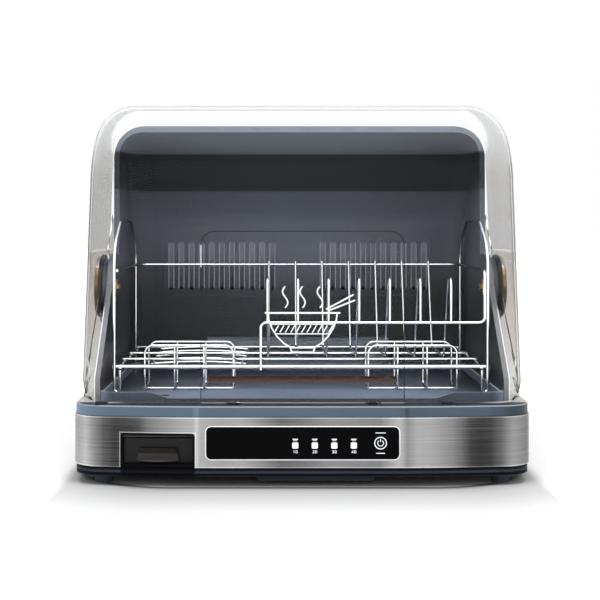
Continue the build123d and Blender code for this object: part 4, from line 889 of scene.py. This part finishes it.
class DRYER_OT_lid(bpy.types.Operator):
    """Clear lid with its pull strip and print"""
    bl_idname = "dryer.lid"
    bl_label = "Lid"

    def execute(self, context):
        colours, sizes = settings()[:2]
        wall = self.clear("Clear lid", colours.lid, 0.015, 1.1, edge=colours.lid_side_reflection)
        dress(wall, "lid")
        dress(self.clear("Smoked pull", colours.lid_pull, 0.12, 1.3, 0.8), "lid_pull")
        # The print's ink has a faint glow: painted light.
        ink = finish_of("White print", colours.lid_print, 0.5, Emission_Color=opaque(colours.lid_print),
                        Emission_Strength=0.15)[0]
        self.print_bowl(ink, sizes)
        self.panel_lines(ink)
        self.bottom_edge()
        self.skirts(wall)
        return {"FINISHED"}

    def panel_lines(self, ink):
        """Lines of painted shade and painted highlight in which the raised panel's edge shows."""
        half, top, corner = PANEL_HALF - LINE_INSET, PANEL_TOP - LINE_INSET, PANEL_CORNER - LINE_INSET

        def draw(mesh, points, width=0.8 * MM):
            stroke(mesh, points, width, LID_LOW.y, LINE_RISE)

        bend = arc((corner - half, top - corner), corner, 180, 90, 8)
        # Painted shade along the panel's edge.
        dark = bmesh.new()
        draw(dark, bend + [(-x, z) for x, z in reversed(bend)], 1.1 * MM)
        draw(dark, [(-half, LINE_TURN), (-half, LINE_FOOT)])
        draw(dark, [(half, top - corner), (half, LINE_FOOT)])
        solid("panel_edge_shade", dark, moulded("Edge shadow", (0.015, 0.017, 0.02), 0.5), "lid")
        # Painted highlight on the upper left side, in the glowing ink.
        light = bmesh.new()
        draw(light, [(-half, LINE_TURN + 0.2 * MM), (-half, top - corner)])
        solid("panel_edge_highlight", light, ink, "lid")

    def bottom_edge(self):
        """Painted highlight along the lid's lower edge between the stops."""
        front = LID_LOW.y + PANEL_STEP
        turn = arc((LID_HIGH.x - LID_CORNER, front + LID_CORNER), LID_CORNER, -90, -20, 8)
        lines = []
        for start, end, raised in EDGE_SPANS:
            y = LID_LOW.y if raised else front
            lines.append([(start, y), (end, y)])
        mesh = bmesh.new()
        for line in (*lines, [(-x, y) for x, y in turn[4:]], turn):
            stroke(mesh, line, 0.3 * MM, LID_LOW.z + 0.2 * MM, 1.5 * MM, True)
        # Painted highlight strip along the lid's lower edge.
        solid("lid_lower_highlight", mesh, moulded("Lower edge", (0.5, 0.48, 0.47), 0.4, tone=self.edge_tone),
              "lid")

    def edge_tone(self, tree):
        """Painted highlight on the lower edge: lighter at the middle and the corners."""
        wide = math_node(tree, "ABSOLUTE", axes(tree)[0])
        level = tones(tree, wide, 0.0, 0.222,
                      ((0.0, 0.33), (0.448, 0.33), (0.456, 0.1), (0.78, 0.09), (0.86, 0.5), (1.0, 0.9)))
        return shaded(tree, level, (0.85, 0.82, 0.8))

    def skirts(self, material):
        """Clear rear parts of the lid's sides: behind their sloping edge, and round about the pivots."""
        points = [vertex.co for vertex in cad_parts["lid"].data.vertices]
        edge = max(point.y for point in points if point.z < LID_LOW.z + 0.5 * MM) + SKIRT_GAP
        disc_low, disc_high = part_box("pivot_discs")
        centre = (disc_low + disc_high) / 2
        ring = (disc_high.z - disc_low.z) / 2 + RING_WIDTH
        reach = centre.z - LID_LOW.z
        apart = (centre.y - edge - reach) / math.sqrt(2)
        meet = math.degrees(math.acos(apart / ring)) + FREE_TURN
        front = math.degrees(math.atan2(reach, centre.y - edge)) + 180
        stops = (SLOPE_TURN + meet, front, DOWN_TURN, SLOPE_TURN + 360 - meet)
        turns = [start + (end - start) * step / steps
                 for start, end, steps in zip(stops, stops[1:], SPOKES) for step in range(steps)]
        rows = []
        for turn in (*turns, stops[-1]):
            spoke = self.spoke_end(turn, reach, apart) - ring
            radii = [ring + spoke * step / SPOKE_STEPS for step in range(SPOKE_STEPS + 1)]
            turned = math.radians(turn)
            places = [(centre.y + radius * math.cos(turned), centre.z + radius * math.sin(turned))
                      for radius in radii]
            rows.append([(self.side_half(y, z), y, z) for y, z in places])
        mesh = bmesh.new()
        for side in (-1, 1):
            skins = [[[mesh.verts.new((side * (half - inset), y, z)) for half, y, z in row] for row in rows]
                     for inset in (0.0, LID_WALL)]
            for skin, order in zip(skins, (-1, 1)):
                for left, right in zip(skin, skin[1:]):
                    for corners in zip(left, left[1:], right[1:], right):
                        mesh.faces.new(corners[::order])
            outer, inner = (self.border(skin) for skin in skins)
            for corners in zip(outer, outer[1:] + outer[:1], inner[1:] + inner[:1], inner):
                mesh.faces.new(corners)
        solid("lid_skirts", mesh, material, "lid")

    def spoke_end(self, turn, reach, apart):
        """How far a spoke reaches from the pivot: to the sloping edge, the lower edge or the rear round."""
        turned = math.radians(turn)
        slope = apart / max(math.cos(turned - math.radians(SLOPE_TURN)), 0.001)
        if turn < DOWN_TURN:
            return min(slope, -reach / math.sin(turned))
        end = SKIRT_RADIUS + (reach - SKIRT_RADIUS) * max(1 - (turn - DOWN_TURN) / ROUND_TURN, 0)
        return min(end, slope) if turn > SLOPE_TURN + 270 else end

    def side_half(self, y, z):
        """Half width of the lid's outside at a place, with its lean and its corners at the front."""
        half = LID_HIGH.x - (z - LID_LOW.z) * LID_LEAN
        into = max(LID_LOW.y + PANEL_STEP + LID_CORNER - y, 0.0)
        return half - LID_CORNER + math.sqrt(max(LID_CORNER ** 2 - into ** 2, 0.0))

    def border(self, rows):
        """Points round the edge of a grid of rows."""
        inner = rows[1:-1]
        return [*rows[0], *[row[-1] for row in inner],
                *reversed(rows[-1]), *[row[0] for row in reversed(inner)]]

    def clear(self, name, tint, roughness, ior, weight=1.0, edge=None):
        """Clear plastic that lets the studio's light through; edge is the colour of its painted reflection
        along the side walls.
        """
        material, shader = finish_of(name, tint, roughness, Transmission_Weight=weight, IOR=ior)
        tree = material.node_tree
        if edge:
            tree.links.new(self.painted_wall_reflection(tree, tint, edge), shader.inputs["Base Color"])
        shadow = add(tree, "ShaderNodeLightPath").outputs["Is Shadow Ray"]
        fainter = opaque([0.95 * part for part in tint])
        passing = add(tree, "ShaderNodeBsdfTransparent", {"Color": fainter}).outputs[0]
        choice = add(tree, "ShaderNodeMixShader", {0: shadow, 1: shader.outputs[0], 2: passing})
        tree.links.new(choice.outputs[0], tree.nodes["Material Output"].inputs["Surface"])
        return material

    def painted_wall_reflection(self, tree, tint, edge):
        """Painted reflection on the side walls seen aslant: the edge's colour, paler towards the top and dark
        at the front.
        """
        y, z = axes(tree)[1:]
        normal = add(tree, "ShaderNodeNewGeometry").outputs["True Normal"]
        turned = add(tree, "ShaderNodeSeparateXYZ", {0: normal}).outputs[0]
        side = spread(tree, math_node(tree, "ABSOLUTE", turned), 0.55, 0.95, smooth=True)
        away = add(tree, "ShaderNodeLayerWeight", {"Blend": 0.5, "Normal": normal}).outputs["Facing"]
        # Painted reflection, paler towards the top.
        pale = tones(tree, z, 0.08, 0.38,
                     ((0.0, 0.3), (0.3, 0.1), (0.4, 0.0), (0.49, 0.0), (0.495, 0.4), (0.62, 0.42),
                      (0.75, 0.5), (0.88, 0.85), (1.0, 1.0)))
        wall = mix_colour(tree, pale, opaque(edge), opaque(tint))
        # Painted dark reflection near the front of the walls.
        rim = product(tree, spread(tree, y, LID_LOW.y + 0.038, LID_LOW.y + 0.044, 1.0, 0.0),
                      spread(tree, away, 0.66, 0.78), spread(tree, z, 0.315, 0.345, 1.0, 0.15))
        wall = mix_colour(tree, rim, wall, opaque([0.04 * part for part in edge]))
        # Painted reflection shows where the walls are seen aslant.
        share = product(tree, side, spread(tree, away, 0.3, 0.7))
        return mix_colour(tree, share, opaque(tint), wall)

    def print_bowl(self, ink, sizes):
        """Line print of a steaming bowl with two sticks, in strokes of white ink."""
        mesh = bmesh.new()
        line = sizes.print_line

        def draw(points, width=line):
            places = [(x * MM, sizes.print_z + z * MM) for x, z in points]
            stroke(mesh, places, width, LID_LOW.y, sizes.ink)

        draw([(-37, 6), (37, 6)], line * 1.2)
        bowl = [(-34, 6), (-33, -1), (-30, -9), (-25, -17), (-18, -24), (-11, -28)]
        draw(bowl)
        draw([(-x, z) for x, z in bowl])
        draw([(-12, -28), (-10.5, -32.5), (10.5, -32.5), (12, -28)])
        draw([(-12, -28), (12, -28)])
        draw([(-31.5, -5), (31.5, -5)], line * 0.7)
        draw([(-26.5, -14.5), (26.5, -14.5)], line * 0.7)
        for index in range(11):
            x = -27.5 + index * 5.3
            draw([(x, -13.2), (x + 4.0, -6.3)], line * 0.8)
        for x in (-17, 0, 17):
            draw([(x + 2.6 * math.sin(step / 12 * 2 * math.pi), 11 + step * 1.75) for step in range(13)])
        draw([(23, 9.5), (50, 24)], line * 1.1)
        draw([(26, 8.5), (51.5, 18.5)], line * 1.1)
        solid("lid_print", mesh, ink, "lid")


class DRYER_OT_rack(bpy.types.Operator):
    """Wire rack, bars, dividers and baskets"""
    bl_idname = "dryer.rack"
    bl_label = "Rack"

    def execute(self, context):
        bright = self.bright_wire(settings()[0])
        for node in ("side_arches", "top_rail", "front_bar", "floor_bars", "plate_dividers", "bowl_grid",
                     "basket_left", "basket_right"):
            rounded(node, bright, "rack")
        return {"FINISHED"}

    def bright_wire(self, colours):
        """Polished wire: bright along its middle and dark where it turns away, as painted reflection, with
        faint drawing lines.
        """
        material, shader = finish_of("Polished wire", colours.wire, 0.14, 1.0)
        tree = material.node_tree
        place = add(tree, "ShaderNodeTexCoord").outputs["Object"]
        cloud = add(tree, "ShaderNodeTexNoise", {"Vector": place, "Scale": 160.0, "Detail": 3.0}).outputs[0]
        # Painted reflection: the colour darkens where the wire turns away.
        away = add(tree, "ShaderNodeLayerWeight", {"Blend": 0.5}).outputs["Facing"]
        edge = spread(tree, away, 0.3, 0.8, 0.0, 1.0, True)
        tone = mix_colour(tree, edge, opaque(colours.wire), opaque(colours.wire_dark_reflection))
        tree.links.new(tone, shader.inputs["Base Color"])
        y, z = axes(tree)[1:]
        low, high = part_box("side_arches")
        deep = high.y - low.y
        crown = product(tree, spread(tree, z, high.z - 0.04, high.z - 0.015),
                        spread(tree, y, low.y + 0.45 * deep, low.y + 0.5 * deep, 1.0, 0.0))
        tree.links.new(spread(tree, crown, 0.0, 1.0, 1.0, 0.1), shader.inputs["Metallic"])
        tree.links.new(spread(tree, cloud, 0.3, 0.7, 0.08, 0.22), shader.inputs["Roughness"])
        raise_surface(tree, shader, cloud, 0.00001)
        return material


class DRYER_OT_works(bpy.types.Operator):
    """Fan, heater and boards inside the base"""
    bl_idname = "dryer.works"
    bl_label = "Works inside"

    def execute(self, context):
        dress(moulded("Duct plastic", (0.1, 0.1, 0.105), 0.6), "blower_housing")
        dress(moulded("Wheel plastic", (0.5, 0.5, 0.48), 0.5), "blower_wheel")
        dress(moulded("Board lacquer", (0.02, 0.14, 0.06), 0.4), "control_board", "power_board")
        dress(moulded("Switch", (0.03, 0.03, 0.03), 0.4), "tact_switch")
        dress(brushed("Sheet zinc", (0.5, 0.5, 0.51), (0.3, 0.3, 0.31)), "heater_housing", "blower_motor")
        dress(brushed("Fin aluminium", (0.7, 0.7, 0.72), (0.4, 0.4, 0.42)), "heater_element", "blower_shaft")
        return {"FINISHED"}


STEPS = (DRYER_OT_stage, DRYER_OT_base, DRYER_OT_window, DRYER_OT_drawer, DRYER_OT_chamber, DRYER_OT_hood,
         DRYER_OT_lid, DRYER_OT_rack, DRYER_OT_works)


class DRYER_PT_panel(bpy.types.Panel):
    """Lists the dryer's operators"""
    bl_idname = "DRYER_PT_panel"
    bl_label = "Dish dryer"
    bl_space_type = "VIEW_3D"
    bl_region_type = "UI"
    bl_category = "Dish dryer"

    def draw(self, context):
        for step in STEPS:
            self.layout.operator(step.bl_idname)


GROUPS = {"dryer_colours": DryerColours, "dryer_sizes": DryerSizes, "dryer_studio": DryerStudio}
CLASSES = (*GROUPS.values(), *STEPS, DRYER_PT_panel)


def register():
    """Registers the classes and their settings."""
    for item in CLASSES:
        bpy.utils.register_class(item)
    for name, kind in GROUPS.items():
        setattr(bpy.types.Scene, name, PointerProperty(type=kind))


def unregister():
    """Removes them."""
    for name in GROUPS:
        delattr(bpy.types.Scene, name)
    for item in reversed(CLASSES):
        bpy.utils.unregister_class(item)


def main():
    """Dresses the dryer."""
    register()
    for step in STEPS:
        area, name = step.bl_idname.split(".")
        getattr(getattr(bpy.ops, area), name)()


if __name__ == "__main__":
    main()
